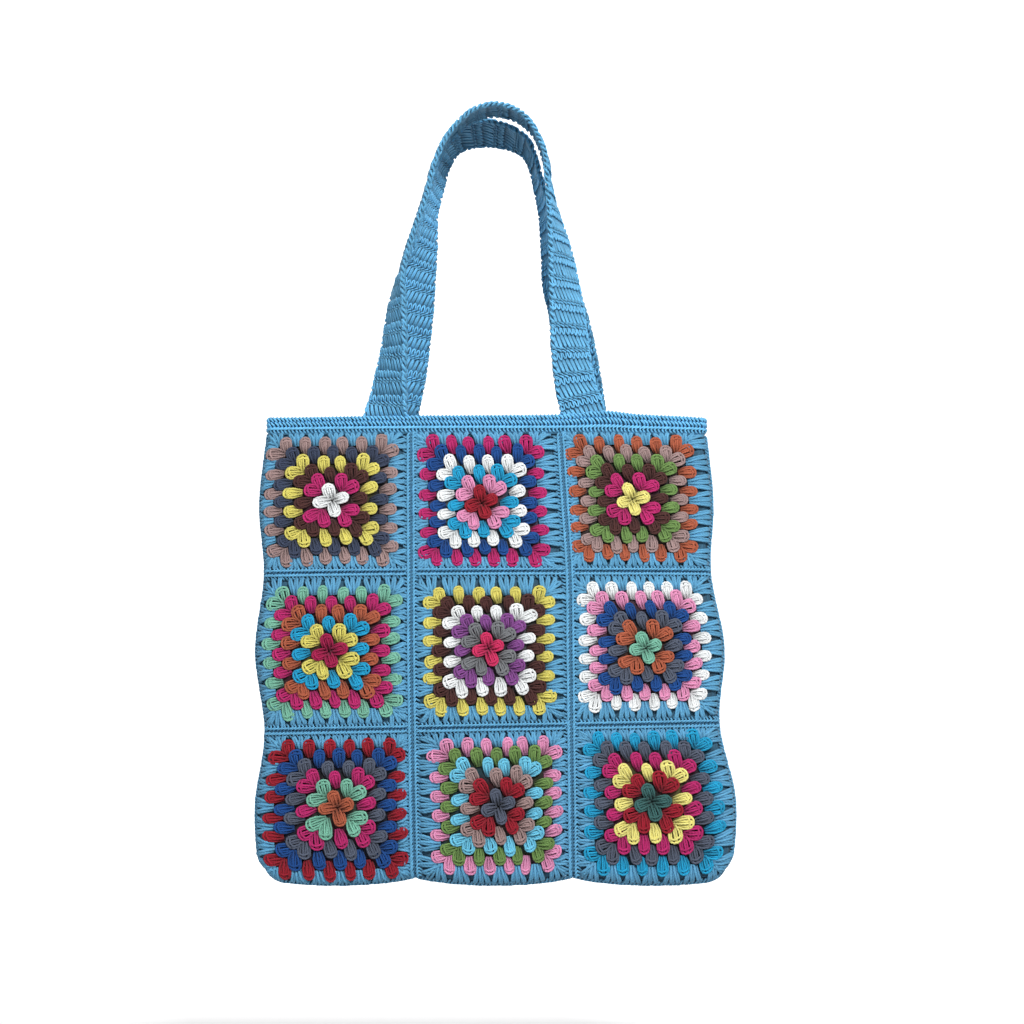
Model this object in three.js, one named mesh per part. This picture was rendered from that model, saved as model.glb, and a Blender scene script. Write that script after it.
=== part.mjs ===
import * as THREE from 'three';

// A crocheted tote bag of nine granny squares a side, hanging by its two straps.
// Millimetres, +Z up, the front towards -Y. The origin is the point under the top of the
// straps where the bag hangs, so the whole bag lies below it apart from the straps' thickness.

// Body, over its seams
const bodyWidth = 388;
const bodyHeight = 364.6;
const bodyDepth = 46;
const mouthDepth = 34;
const wall = 3.5;
const rollRadius = 5;
const squarePuff = 3.4;
const cornerRadius = 21;
const hemNotch = 7;

// Joins between squares, the seam down the sides and along the base, and the band at the mouth
const joinWidth = 8.6;
const joinRidge = 1.3;
const joinGroove = 0.3;
const bandHeight = 12.2;
const bandWall = 4;

// Straps
const handleDrop = 263;
const strapSpread = 162;
const strapWidth = 38.8;
const strapThickness = 4;
const strapCup = 1.8;
const strapGap = 4.4;
const strapStep = 10.5;

// Section of a strap: wide is a share of half its width, thick a share of its thickness
const strapProfileRows = [
  { wide: -1, thick: -0.25 },
  { wide: -0.93, thick: -0.5 },
  { wide: 0, thick: -0.5 },
  { wide: 0.93, thick: -0.5 },
  { wide: 1, thick: -0.25 },
  { wide: 1, thick: 0.25 },
  { wide: 0.93, thick: 0.5 },
  { wide: 0, thick: 0.5 },
  { wide: -0.93, thick: 0.5 },
  { wide: -1, thick: 0.25 },
];

// Degrees that the straps have turned over the hang point, the share of handleDrop in which
// they come together above the rim, and the share of strapWidth kept clear beside a foot
const archTurn = 84;
const drawInShare = 0.3;
const footShare = 0.6;

// How sharply the body rounds off towards its sides and towards its base, the squares towards
// their edges, the base's edge into its notches and the base's corners: exponents of a curve
const sideSharpness = 2.2;
const baseSharpness = 2.4;
const puffSharpness = 0.75;
const notchSharpness = 0.6;
const cornerSharpness = 1.6;

// Section of the seam: y is a share of half its width, deep a share of the wall inwards and
// ridge a share of joinRidge outwards
const seamProfileRows = [
  { y: -1, deep: 1, ridge: 0 },
  { y: -1, deep: 0, ridge: 0 },
  { y: -0.5, deep: 0, ridge: 1 },
  { y: 0.5, deep: 0, ridge: 1 },
  { y: 1, deep: 0, ridge: 0 },
  { y: 1, deep: 1, ridge: 0 },
];

// Distance kept between neighbouring pieces
const clearance = 0.3;

// The hanging body, a row for each level. down counts squares below the band, and the others
// are places across, over the seams, as shares of bodyWidth from the hang point.
const bodyRows = [
  { down: 0, left: -0.485, joinLeft: -0.177, joinRight: 0.139, right: 0.452 },
  { down: 0.5, left: -0.498, joinLeft: -0.175, joinRight: 0.148, right: 0.464 },
  { down: 1, left: -0.485, joinLeft: -0.173, joinRight: 0.157, right: 0.456 },
  { down: 1.5, left: -0.5, joinLeft: -0.171, joinRight: 0.158, right: 0.482 },
  { down: 2, left: -0.477, joinLeft: -0.168, joinRight: 0.159, right: 0.469 },
  { down: 2.5, left: -0.494, joinLeft: -0.165, joinRight: 0.16, right: 0.5 },
  { down: 3, left: -0.484, joinLeft: -0.162, joinRight: 0.162, right: 0.49 },
];

// How far each level hangs below the band's lower edge at the body's left and right, as
// shares of bodyHeight
const dropRows = [
  { down: 0, left: 0, right: 0 },
  { down: 0.5, left: 0.158, right: 0.156 },
  { down: 1, left: 0.316, right: 0.312 },
  { down: 1.5, left: 0.488, right: 0.478 },
  { down: 2, left: 0.664, right: 0.645 },
  { down: 2.5, left: 0.832, right: 0.822 },
  { down: 3, left: 1, right: 1 },
];

// Upper edge of the band: across is a share of bodyWidth from the hang point, and lift is a
// share of bandHeight. The straps pull the edge up beside them.
const rimRows = [
  { across: -0.5, lift: 0.08 },
  { across: -0.4, lift: 0.06 },
  { across: -0.2, lift: 0.1 },
  { across: 0, lift: 0.12 },
  { across: 0.14, lift: 0.18 },
  { across: 0.235, lift: 0.44 },
  { across: 0.3, lift: 0.24 },
  { across: 0.4, lift: 0.12 },
  { across: 0.47, lift: 0 },
];

// Centre lines of the straps from the left base over the top to the right base. across is a
// share of strapSpread from the hang point, up a share of handleDrop, and turn is how far the
// strap has turned, in degrees: at 0 it lies flat to the front, at 90 it lies flat over the top.
const frontStrapRows = [
  { across: -0.552, up: -1, turn: 4 },
  { across: -0.549, up: -0.972, turn: 18 },
  { across: -0.543, up: -0.945, turn: 30 },
  { across: -0.535, up: -0.87, turn: 43 },
  { across: -0.52, up: -0.793, turn: 52 },
  { across: -0.506, up: -0.64, turn: 66 },
  { across: -0.492, up: -0.562, turn: 77 },
  { across: -0.454, up: -0.484, turn: 84 },
  { across: -0.409, up: -0.405, turn: 88 },
  { across: -0.373, up: -0.327, turn: 84 },
  { across: -0.343, up: -0.248, turn: 84 },
  { across: -0.305, up: -0.169, turn: 84 },
  { across: -0.236, up: -0.089, turn: 84 },
  { across: -0.14, up: -0.027, turn: 84 },
  { across: -0.06, up: -0.004, turn: 84 },
  { across: 0.027, up: 0.001, turn: 84 },
  { across: 0.12, up: -0.018, turn: 84 },
  { across: 0.178, up: -0.047, turn: 84 },
  { across: 0.22, up: -0.083, turn: 84 },
  { across: 0.27, up: -0.169, turn: 87 },
  { across: 0.285, up: -0.248, turn: 84 },
  { across: 0.308, up: -0.327, turn: 76 },
  { across: 0.331, up: -0.405, turn: 66 },
  { across: 0.35, up: -0.484, turn: 57 },
  { across: 0.362, up: -0.562, turn: 49 },
  { across: 0.375, up: -0.64, turn: 41 },
  { across: 0.387, up: -0.755, turn: 33 },
  { across: 0.4, up: -0.832, turn: 29 },
  { across: 0.42, up: -0.908, turn: 21 },
  { across: 0.447, up: -0.972, turn: 6 },
  { across: 0.449, up: -1, turn: 4 },
];

const backStrapRows = [
  { across: -0.515, up: -1, turn: 4 },
  { across: -0.507, up: -0.954, turn: 8 },
  { across: -0.473, up: -0.837, turn: 15 },
  { across: -0.457, up: -0.757, turn: 22 },
  { across: -0.429, up: -0.598, turn: 30 },
  { across: -0.417, up: -0.519, turn: 38 },
  { across: -0.399, up: -0.438, turn: 48 },
  { across: -0.377, up: -0.357, turn: 62 },
  { across: -0.356, up: -0.276, turn: 74 },
  { across: -0.318, up: -0.195, turn: 79 },
  { across: -0.278, up: -0.108, turn: 78 },
  { across: -0.215, up: -0.046, turn: 76 },
  { across: -0.125, up: -0.021, turn: 74 },
  { across: -0.05, up: -0.015, turn: 74 },
  { across: 0.025, up: -0.017, turn: 74 },
  { across: 0.099, up: -0.03, turn: 74 },
  { across: 0.162, up: -0.053, turn: 75 },
  { across: 0.205, up: -0.095, turn: 78 },
  { across: 0.245, up: -0.195, turn: 82 },
  { across: 0.27, up: -0.276, turn: 80 },
  { across: 0.286, up: -0.357, turn: 76 },
  { across: 0.309, up: -0.438, turn: 66 },
  { across: 0.33, up: -0.519, turn: 55 },
  { across: 0.373, up: -0.598, turn: 42 },
  { across: 0.403, up: -0.678, turn: 32 },
  { across: 0.433, up: -0.797, turn: 20 },
  { across: 0.463, up: -0.954, turn: 6 },
  { across: 0.468, up: -1, turn: 4 },
];

// Yarn colours, which here stand for each square's widest round
const yarn = {
  blue: 0x79b7dd,
  taupe: 0xa38689,
  magenta: 0xb4215f,
  rust: 0xb5593a,
  mint: 0x72c1a4,
  yellow: 0xdccb62,
  white: 0xf2efec,
  crimson: 0x8e1231,
  pink: 0xe294b8,
  turquoise: 0x1f93b5,
};
const frontColours = [
  ['taupe', 'magenta', 'rust'],
  ['mint', 'yellow', 'white'],
  ['crimson', 'pink', 'turquoise'],
];
const backColours = [
  ['pink', 'rust', 'mint'],
  ['magenta', 'turquoise', 'taupe'],
  ['white', 'crimson', 'yellow'],
];

const rowNames = ['top', 'middle', 'bottom'];
const columnNames = ['left', 'centre', 'right'];
const sides = { front: -1, back: 1 };

// Where the grid of a square is divided, as shares of its side, and where the turned edge of
// an outer square is, as shares of the length that turns
const squareDivisions = [0, 0.1, 0.27, 0.5, 0.73, 0.9, 1];
const rollDivisions = [0.33, 0.67, 1];

const squareSide = bodyHeight / rowNames.length;
const edgeOffset = joinWidth / 2;
const joinHalf = joinWidth / 2 / squareSide;
const gapHalf = clearance / 2 / squareSide;
const lastSquare = columnNames.length;

// A panel's sides and base turn round to the seam in a quarter circle. rollLength is the cloth
// in it and rollHides how much less of it shows from the front than lies in it.
const rollLength = (rollRadius * Math.PI) / 2;
const rollHides = rollLength - rollRadius;
const bandSpare = (bandWall - wall) / 2;

function lerp(a, b, share) {
  return a + (b - a) * share;
}

function clamp01(value) {
  return Math.min(1, Math.max(0, value));
}

function smooth(value) {
  const t = clamp01(value);
  return t * t * (3 - 2 * t);
}

// Value of a column at a place along a table, on a smooth curve through the table's rows
function along(rows, key, place, column) {
  let i = 0;
  while (i < rows.length - 2 && rows[i + 1][key] < place) i += 1;
  const slope = (j) => {
    const before = rows[Math.max(0, j - 1)];
    const after = rows[Math.min(rows.length - 1, j + 1)];
    return (after[column] - before[column]) / (after[key] - before[key]);
  };
  const span = rows[i + 1][key] - rows[i][key];
  const t = clamp01((place - rows[i][key]) / span);
  const rise = rows[i + 1][column] - rows[i][column];
  const first = slope(i) * span;
  const last = slope(i + 1) * span;
  const bend = 3 * rise - 2 * first - last + t * (first + last - 2 * rise);
  return rows[i][column] + t * (first + t * bend);
}

// How full the body is across its width, from 0 at a side seam to 1 in the middle
function fullness(across) {
  return 1 - Math.abs(1 - (2 * across) / lastSquare) ** sideSharpness;
}

// Half of the body's depth at a level, beyond the turned edges
function halfDepth(down) {
  const mouth = mouthDepth / 2 - edgeOffset - rollRadius;
  const middle = bodyDepth / 2 - edgeOffset - rollRadius;
  const widest = lastSquare / 2;
  if (down < widest) return lerp(mouth, middle, smooth(down / widest));
  return middle * (1 - ((down - widest) / widest) ** baseSharpness);
}

// Each square is puffed out between its joins
function pillow(across, down) {
  const wave = Math.abs(Math.sin(Math.PI * across) * Math.sin(Math.PI * down));
  return squarePuff * wave ** puffSharpness;
}

// Place across, in millimetres, at a level, with the turned edges laid out flat
function placeAcross(across, down) {
  const inset = joinRidge - rollHides;
  const at = (column) => along(bodyRows, 'down', down, column) * bodyWidth;
  const edges = [at('left') + inset, at('joinLeft'), at('joinRight'), at('right') - inset];
  const column = Math.min(lastSquare - 1, Math.floor(across));
  return lerp(edges[column], edges[column + 1], across - column);
}

// A point of a panel. across and down count squares from its top left corner, side is -1 for
// the front and 1 for the back, and raise is measured outwards from the outer face.
function panelPoint(across, down, side, raise) {
  const dropLeft = along(dropRows, 'down', down, 'left');
  const dropRight = along(dropRows, 'down', down, 'right');
  const hangs = lerp(dropLeft, dropRight, across / lastSquare) * (bodyHeight - joinRidge + rollHides);
  const scallop = hemNotch * (1 - Math.abs(Math.sin(Math.PI * across)) ** notchSharpness);
  const toSide = Math.min(across, lastSquare - across) * squareSide;
  const toHem = (rowNames.length - down) * squareSide;
  const nearCorner = clamp01(1 - toSide / cornerRadius) * clamp01(1 - toHem / cornerRadius);
  const pull = cornerRadius * (1 - Math.SQRT1_2) * nearCorner ** cornerSharpness;
  const beyond = [toSide, toHem].map((distance) => Math.max(0, cornerRadius - distance - pull));
  const reach = Math.hypot(...beyond);
  const [sideways, downwards] = reach > 0 ? beyond.map((part) => part / reach) : [0, 0];
  const rolled = Math.min(Math.max(0, cornerRadius - reach), rollLength);
  const turn = rolled / rollRadius;
  const shift = rollRadius * (1 - Math.cos(turn)) - rolled + rollHides;
  const inwards = pull + sideways * (shift - raise * Math.cos(turn));
  const towardsMiddle = across < lastSquare / 2 ? 1 : -1;
  const out = edgeOffset + (rollRadius + raise) * Math.sin(turn);
  return new THREE.Vector3(
    placeAcross(across, down) + towardsMiddle * inwards,
    side * (out + halfDepth(down) * fullness(across) + pillow(across, down)),
    -handleDrop - bandHeight - hangs + scallop * smooth(down - lastSquare + 1) + pull
      + downwards * (shift - raise * Math.cos(turn)),
  );
}

// A mesh's geometry from points and faces, with its faces turned outwards
function solid(points, faces) {
  let volume = 0;
  for (const [a, b, c] of faces) {
    volume += points[a].dot(new THREE.Vector3().crossVectors(points[b], points[c]));
  }
  const turned = volume < 0 ? faces.map(([a, b, c]) => [a, c, b]) : faces;
  const geometry = new THREE.BufferGeometry();
  const places = new THREE.Float32BufferAttribute(points.flatMap((p) => p.toArray()), 3);
  geometry.setAttribute('position', places);
  geometry.setIndex(turned.flat());
  geometry.computeVertexNormals();
  return geometry;
}

// A wall that follows a panel. It fills the cells of a grid that filled() picks. raise() is how
// far its outer face stands out of the panel's outer face at a grid point.
function panelWall(acrossLines, downLines, side, filled, raise) {
  const points = [];
  const faces = [];
  const numbers = new Map();
  const number = (i, j, inner) => {
    const name = `${i},${j},${inner}`;
    if (!numbers.has(name)) {
      numbers.set(name, points.length);
      const out = inner ? -wall : raise(i, j);
      points.push(panelPoint(acrossLines[i], downLines[j], side, out));
    }
    return numbers.get(name);
  };
  const quad = (a, b, c, d) => faces.push([a, b, c], [a, c, d]);
  const isFilled = (i, j) =>
    i >= 0 && j >= 0 && i < acrossLines.length - 1 && j < downLines.length - 1 && filled(i, j);
  const edge = (i0, j0, i1, j1) =>
    quad(number(i0, j0, false), number(i1, j1, false), number(i1, j1, true), number(i0, j0, true));
  for (let i = 0; i < acrossLines.length - 1; i += 1) {
    for (let j = 0; j < downLines.length - 1; j += 1) {
      if (!isFilled(i, j)) continue;
      const outer = [[i, j], [i, j + 1], [i + 1, j + 1], [i + 1, j]].map(([p, q]) => number(p, q, false));
      const inner = [[i, j], [i + 1, j], [i + 1, j + 1], [i, j + 1]].map(([p, q]) => number(p, q, true));
      quad(...outer);
      quad(...inner);
      if (!isFilled(i - 1, j)) edge(i, j + 1, i, j);
      if (!isFilled(i + 1, j)) edge(i + 1, j, i + 1, j + 1);
      if (!isFilled(i, j - 1)) edge(i, j, i + 1, j);
      if (!isFilled(i, j + 1)) edge(i + 1, j + 1, i, j + 1);
    }
  }
  return solid(points, faces);
}

// Grid lines of one square from start to end along one direction. Turned edges, which the
// first square of a row and the last of either direction have, get lines of their own.
function divide(index, start, end, isAcross) {
  const inner = squareDivisions.slice(2, -2).map((share) => lerp(start, end, share));
  const near = squareDivisions.slice(0, 2).map((share) => lerp(start, end, share));
  const far = squareDivisions.slice(-2).map((share) => lerp(start, end, share));
  const rolls = rollDivisions.map((share) => (share * rollLength) / squareSide);
  const first = isAcross && index === 0 ? [start, ...rolls.map((roll) => index + roll)] : near;
  const atEnd = rolls.map((roll) => index + 1 - roll).reverse();
  const last = index === lastSquare - 1 ? [...atEnd, end] : far;
  return [...first, ...inner, ...last];
}

// Grid lines of one square, clear of the joins and of the band above
function squareLines(index, isAcross) {
  const top = isAcross ? 0 : 2 * gapHalf;
  const start = index + (index === 0 ? top : joinHalf + gapHalf);
  const end = index + 1 - (index === lastSquare - 1 ? 0 : joinHalf + gapHalf);
  return divide(index, start, end, isAcross);
}

function squareGeometry(row, column, side) {
  return panelWall(squareLines(column, true), squareLines(row, false), side, () => true, () => 0);
}

// The joins of a panel are one lattice: two ridges with a groove between them along each join
function joinsGeometry(side) {
  const joinLines = (isAcross) => {
    const lines = [];
    for (let index = 0; index < lastSquare; index += 1) {
      const top = isAcross ? 0 : 2 * gapHalf;
      const start = index === 0 ? top : index + joinHalf;
      const end = index === lastSquare - 1 ? index + 1 : index + 1 - joinHalf;
      for (const place of divide(index, start, end, isAcross)) lines.push({ place, groove: false });
      if (index < lastSquare - 1) lines.push({ place: index + 1, groove: true });
    }
    return lines;
  };
  const [columns, rows] = [joinLines(true), joinLines(false)];
  const inJoin = (lines, i) => lines[i].groove || lines[i + 1].groove;
  const raise = (i, j) => (columns[i].groove || rows[j].groove ? joinGroove : joinRidge);
  const [acrossLines, downLines] = [columns, rows].map((lines) => lines.map((line) => line.place));
  const filled = (i, j) => inJoin(columns, i) || inJoin(rows, j);
  return panelWall(acrossLines, downLines, side, filled, raise);
}

// A closed sweep through sections that all have the same even number of points. An end is
// closed in strips between the first half of its points and the second, taken backwards.
function sweep(sections, isRing) {
  const size = sections[0].length;
  const faces = [];
  const steps = isRing ? sections.length : sections.length - 1;
  for (let s = 0; s < steps; s += 1) {
    const here = s * size;
    const next = ((s + 1) % sections.length) * size;
    for (let k = 0; k < size; k += 1) {
      const after = (k + 1) % size;
      faces.push([here + k, next + k, next + after], [here + k, next + after, here + after]);
    }
  }
  if (!isRing) {
    const end = (sections.length - 1) * size;
    for (let k = 0; k < size / 2 - 1; k += 1) {
      const [a, b, c, d] = [k, k + 1, size - 2 - k, size - 1 - k];
      faces.push([a, b, c], [a, c, d], [end + a, end + c, end + b], [end + a, end + d, end + c]);
    }
  }
  return solid(sections.flat(), faces);
}

// The seam runs down the left side, along the base and up the right side, between the panels
function seamGeometry() {
  const downs = rowNames.flatMap((_, row) => squareLines(row, false));
  const acrosses = columnNames.flatMap((_, column) => squareLines(column, true));
  const places = [
    ...downs.map((down) => [0, down]),
    ...acrosses.slice(1, -1).map((across) => [across, lastSquare]),
    ...downs.reverse().map((down) => [lastSquare, down]),
  ];
  const half = edgeOffset - clearance;
  const sections = places.map(([across, down]) =>
    seamProfileRows.map(({ y, deep, ridge }) => {
      const point = panelPoint(across, down, 1, ridge * joinRidge - deep * wall);
      return point.setY(y * half);
    }),
  );
  return sweep(sections, false);
}

// Upper edge of the band at a place across, in millimetres
function rimTop(x) {
  return -handleDrop + bandHeight * along(rimRows, 'across', x / bodyWidth, 'lift');
}

// Place across the mouth, counted in squares, of a point of the band
function squaresAcross(x) {
  let column = 0;
  while (column < lastSquare - 1 && placeAcross(column + 1, 0) < x) column += 1;
  const start = placeAcross(column, 0);
  return column + (x - start) / (placeAcross(column + 1, 0) - start);
}

// Places where the flat part of one side of the band is divided: its own, and the edges and
// middle of each strap, so that a strap's foot and the band below have the same straight edges
function bandPlaces(strapRows) {
  const feet = [strapRows[0], strapRows[strapRows.length - 1]].map((row) => row.across * strapSpread);
  const isClear = (x) => feet.every((foot) => Math.abs(x - foot) > footShare * strapWidth);
  const flatEdge = ((rollDivisions[0] + 1) / 2) * (rollLength / squareSide);
  const isFlat = (across) => across > flatEdge && across < lastSquare - flatEdge;
  const places = columnNames.flatMap((_, column) => squareLines(column, true)).filter(isFlat);
  const own = places.map((place) => placeAcross(place, 0));
  const under = feet.flatMap((foot) => [foot - strapWidth / 2, foot, foot + strapWidth / 2]);
  return [...own.filter(isClear), ...under].sort((a, b) => a - b);
}

// Upper edge of the band as its flat faces have it, straight from one division to the next
function rimFacet(x, places) {
  let i = 0;
  while (i < places.length - 2 && places[i + 1] < x) i += 1;
  return lerp(rimTop(places[i]), rimTop(places[i + 1]), (x - places[i]) / (places[i + 1] - places[i]));
}

// Outer face of the band at the mouth, as a distance from the bag's middle plane
function bandOut(across) {
  return edgeOffset + rollRadius + halfDepth(0) * fullness(across) + bandSpare;
}

// The band goes round the mouth on top of both panels and of the seam's two ends
function bandGeometry() {
  const base = -handleDrop - bandHeight;
  const section = (outer, inner) => [
    inner.clone().setZ(base),
    outer.clone().setZ(base),
    outer.clone().setZ(rimTop(outer.x)),
    inner.clone().setZ(rimTop(inner.x)),
  ];
  const turned = (across, side) => {
    const [outer, inner] = [bandSpare, -wall - bandSpare].map((out) => panelPoint(across, 0, side, out));
    return section(outer, inner);
  };
  const flat = (x, side) => {
    const outer = bandOut(squaresAcross(x));
    const edge = (out) => new THREE.Vector3(x, side * out, 0);
    return section(edge(outer), edge(outer - bandWall));
  };
  const rolls = [0, ...rollDivisions.slice(0, -1)].map((share) => (share * rollLength) / squareSide);
  const face = (strapRows, side) => [
    ...rolls.map((across) => turned(across, side)),
    ...bandPlaces(strapRows).map((x) => flat(x, side)),
    ...rolls.map((across) => turned(lastSquare - across, side)).reverse(),
  ];
  const overSeam = (across) => turned(across, sides.back).map((point) => point.setY(0));
  return sweep(
    [
      ...face(frontStrapRows, sides.front),
      overSeam(lastSquare),
      ...face(backStrapRows, sides.back).reverse(),
      overSeam(0),
    ],
    true,
  );
}

// One strap, a flat band that rises from the rim, turns on the way and lies over the hang point
function strapGeometry(rows, side) {
  const archY = (strapGap + strapWidth * Math.sin(THREE.MathUtils.degToRad(archTurn))) / 2;
  const stations = rows.map((row) => {
    const x = row.across * strapSpread;
    const rimY = bandOut(squaresAcross(rows[row.across < 0 ? 0 : rows.length - 1].across * strapSpread));
    const y = lerp(rimY - bandWall / 2, archY, smooth((1 + row.up) / drawInShare));
    return { x, y: side * y, z: row.up * handleDrop, turn: row.turn, length: 0 };
  });
  for (let i = 1; i < stations.length; i += 1) {
    const [a, b] = [stations[i - 1], stations[i]];
    b.length = a.length + Math.hypot(b.x - a.x, b.y - a.y, b.z - a.z);
  }
  const total = stations[stations.length - 1].length;
  const count = Math.round(total / strapStep);
  const places = bandPlaces(rows);
  const place = (length) =>
    new THREE.Vector3(...['x', 'y', 'z'].map((axis) => along(stations, 'length', length, axis)));
  const sections = [];
  for (let s = 0; s <= count; s += 1) {
    const length = (total * s) / count;
    const centre = place(length);
    const run = place(Math.min(total, length + 1)).sub(place(Math.max(0, length - 1))).normalize();
    const turn = THREE.MathUtils.degToRad(along(stations, 'length', length, 'turn'));
    const across = new THREE.Vector3(run.z, 0, -run.x).setLength(Math.cos(turn));
    across.setY(side * Math.sin(turn));
    across.addScaledVector(run, -across.dot(run)).normalize();
    const outwards = new THREE.Vector3().crossVectors(run, across).multiplyScalar(side);
    const isBase = s === 0 || s === count;
    const cup = strapCup * smooth(Math.min(length, total - length) / strapWidth);
    sections.push(
      strapProfileRows.map(({ wide, thick }) => {
        const bend = -cup * wide ** 2;
        const point = centre.clone().addScaledVector(across, (wide * strapWidth) / 2);
        point.addScaledVector(outwards, thick * strapThickness + bend);
        if (isBase) point.setZ(rimFacet(point.x, places) + clearance);
        return point;
      }),
    );
  }
  return sweep(sections, false);
}

const bag = new THREE.Group();

function addPiece(name, geometry, colour) {
  const material = new THREE.MeshStandardMaterial({ color: yarn[colour], roughness: 0.92, metalness: 0 });
  const piece = new THREE.Mesh(geometry, material);
  piece.name = name;
  bag.add(piece);
}

for (const [panel, side] of Object.entries(sides)) {
  const colours = panel === 'front' ? frontColours : backColours;
  rowNames.forEach((rowName, row) => {
    columnNames.forEach((columnName, column) => {
      addPiece(
        `square_${panel}_${rowName}_${columnName}`,
        squareGeometry(row, column, side),
        colours[row][column],
      );
    });
  });
  addPiece(`joins_${panel}`, joinsGeometry(side), 'blue');
}
addPiece('side_and_base_seam', seamGeometry(), 'blue');
addPiece('rim_band', bandGeometry(), 'blue');
addPiece('handle_front', strapGeometry(frontStrapRows, sides.front), 'blue');
addPiece('handle_back', strapGeometry(backStrapRows, sides.back), 'blue');

export default bag;
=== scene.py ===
import math

import bpy
import numpy as np
from bpy.props import FloatProperty, FloatVectorProperty, PointerProperty
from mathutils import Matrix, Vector


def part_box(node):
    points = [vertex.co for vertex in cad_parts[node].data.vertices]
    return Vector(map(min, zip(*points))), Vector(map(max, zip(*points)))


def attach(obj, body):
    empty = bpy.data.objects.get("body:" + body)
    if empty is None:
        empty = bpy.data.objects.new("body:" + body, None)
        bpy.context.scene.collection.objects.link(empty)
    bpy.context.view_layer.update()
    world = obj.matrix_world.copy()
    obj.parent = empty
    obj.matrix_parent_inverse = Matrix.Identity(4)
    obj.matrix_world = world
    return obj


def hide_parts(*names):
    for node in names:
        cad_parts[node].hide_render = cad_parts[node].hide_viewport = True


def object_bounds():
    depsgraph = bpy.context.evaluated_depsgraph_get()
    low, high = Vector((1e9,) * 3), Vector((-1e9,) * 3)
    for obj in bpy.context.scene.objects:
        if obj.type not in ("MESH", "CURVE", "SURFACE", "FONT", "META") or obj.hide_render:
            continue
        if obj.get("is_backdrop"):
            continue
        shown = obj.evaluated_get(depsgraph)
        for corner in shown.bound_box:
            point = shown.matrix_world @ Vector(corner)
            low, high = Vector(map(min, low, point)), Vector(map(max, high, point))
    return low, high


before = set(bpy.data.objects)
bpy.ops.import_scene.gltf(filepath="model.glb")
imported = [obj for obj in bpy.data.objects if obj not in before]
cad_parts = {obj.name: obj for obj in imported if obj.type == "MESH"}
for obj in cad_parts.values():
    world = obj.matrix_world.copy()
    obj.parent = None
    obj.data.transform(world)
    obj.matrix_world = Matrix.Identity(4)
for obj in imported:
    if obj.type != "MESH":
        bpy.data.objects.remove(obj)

bl_info = {
    "name": "Granny Tote Bag",
    "version": (1, 0, 0),
    "blender": (4, 5, 0),
    "location": "3D Viewport > Sidebar > Granny Tote",
    "description": "Crochets a tote bag of granny squares, strand by strand",
    "category": "Add Mesh",
}

MM = 0.001
BODY = "root"
cad_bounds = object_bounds()


def node_box(node):
    """Lowest and highest corner of a node, as arrays."""
    return [np.array(corner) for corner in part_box(node)]


seam_low, seam_high = node_box("side_and_base_seam")
band_low, band_high = node_box("rim_band")

ROW_NAMES = ("top", "middle", "bottom")
COLUMN_NAMES = ("left", "centre", "right")
SIDES = {"front": -1, "back": 1}
SQUARES = len(ROW_NAMES)

# Body
BODY_WIDTH = seam_high[0] - seam_low[0]
BODY_HEIGHT = band_low[2] - seam_low[2]
BODY_DEPTH = 46 * MM
MOUTH_DEPTH = 34 * MM
WALL = 3.5 * MM
ROLL_RADIUS = 5 * MM
SQUARE_PUFF = 3.4 * MM
CORNER_RADIUS = 21 * MM
HEM_NOTCH = 7 * MM
JOIN_WIDTH = 8.6 * MM
JOIN_RIDGE = 1.3 * MM
BAND_HEIGHT = 12.2 * MM
BAND_WALL = 4 * MM
BAND_SPARE = (BAND_WALL - WALL) / 2

# Straps
HANDLE_DROP = -band_low[2] - BAND_HEIGHT
STRAP_SPREAD = 162 * MM
STRAP_WIDTH = 38.8 * MM
STRAP_CUP = 1.8 * MM
STRAP_GAP = 4.4 * MM
ARCH_TURN = math.radians(84)
DRAW_IN_SHARE = 0.3

# How sharply the body rounds off, as exponents of a curve
SIDE_SHARPNESS = 2.2
BASE_SHARPNESS = 2.4
PUFF_SHARPNESS = 0.75
NOTCH_SHARPNESS = 0.6
CORNER_SHARPNESS = 1.6

SQUARE_SIDE = BODY_HEIGHT / SQUARES
EDGE_OFFSET = JOIN_WIDTH / 2
ROLL_LENGTH = ROLL_RADIUS * math.pi / 2
ROLL_HIDES = ROLL_LENGTH - ROLL_RADIUS


def table(columns, rows):
    """A table with named columns: a dictionary of arrays."""
    return dict(zip(columns.split(), np.array(rows, float).T))


# The hanging body. down counts squares below the band, and the others are places across as
# shares of the body's width.
BODY_ROWS = table("down left join_left join_right right", [
    (0, -0.485, -0.177, 0.139, 0.452),
    (0.5, -0.498, -0.175, 0.148, 0.464),
    (1, -0.485, -0.173, 0.157, 0.456),
    (1.5, -0.5, -0.171, 0.158, 0.482),
    (2, -0.477, -0.168, 0.159, 0.469),
    (2.5, -0.494, -0.165, 0.16, 0.5),
    (3, -0.484, -0.162, 0.162, 0.49),
])

# How far each level hangs below the band at the left and right, as shares of the body's height
DROP_ROWS = table("down left right", [
    (0, 0, 0),
    (0.5, 0.158, 0.156),
    (1, 0.316, 0.312),
    (1.5, 0.488, 0.478),
    (2, 0.664, 0.645),
    (2.5, 0.832, 0.822),
    (3, 1, 1),
])

# Upper edge of the band: across as a share of the body's width, lift of the band's height
RIM_ROWS = table("across lift", [
    (-0.5, 0.08),
    (-0.4, 0.06),
    (-0.2, 0.1),
    (0, 0.12),
    (0.14, 0.18),
    (0.235, 0.44),
    (0.3, 0.24),
    (0.4, 0.12),
    (0.47, 0),
])

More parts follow.
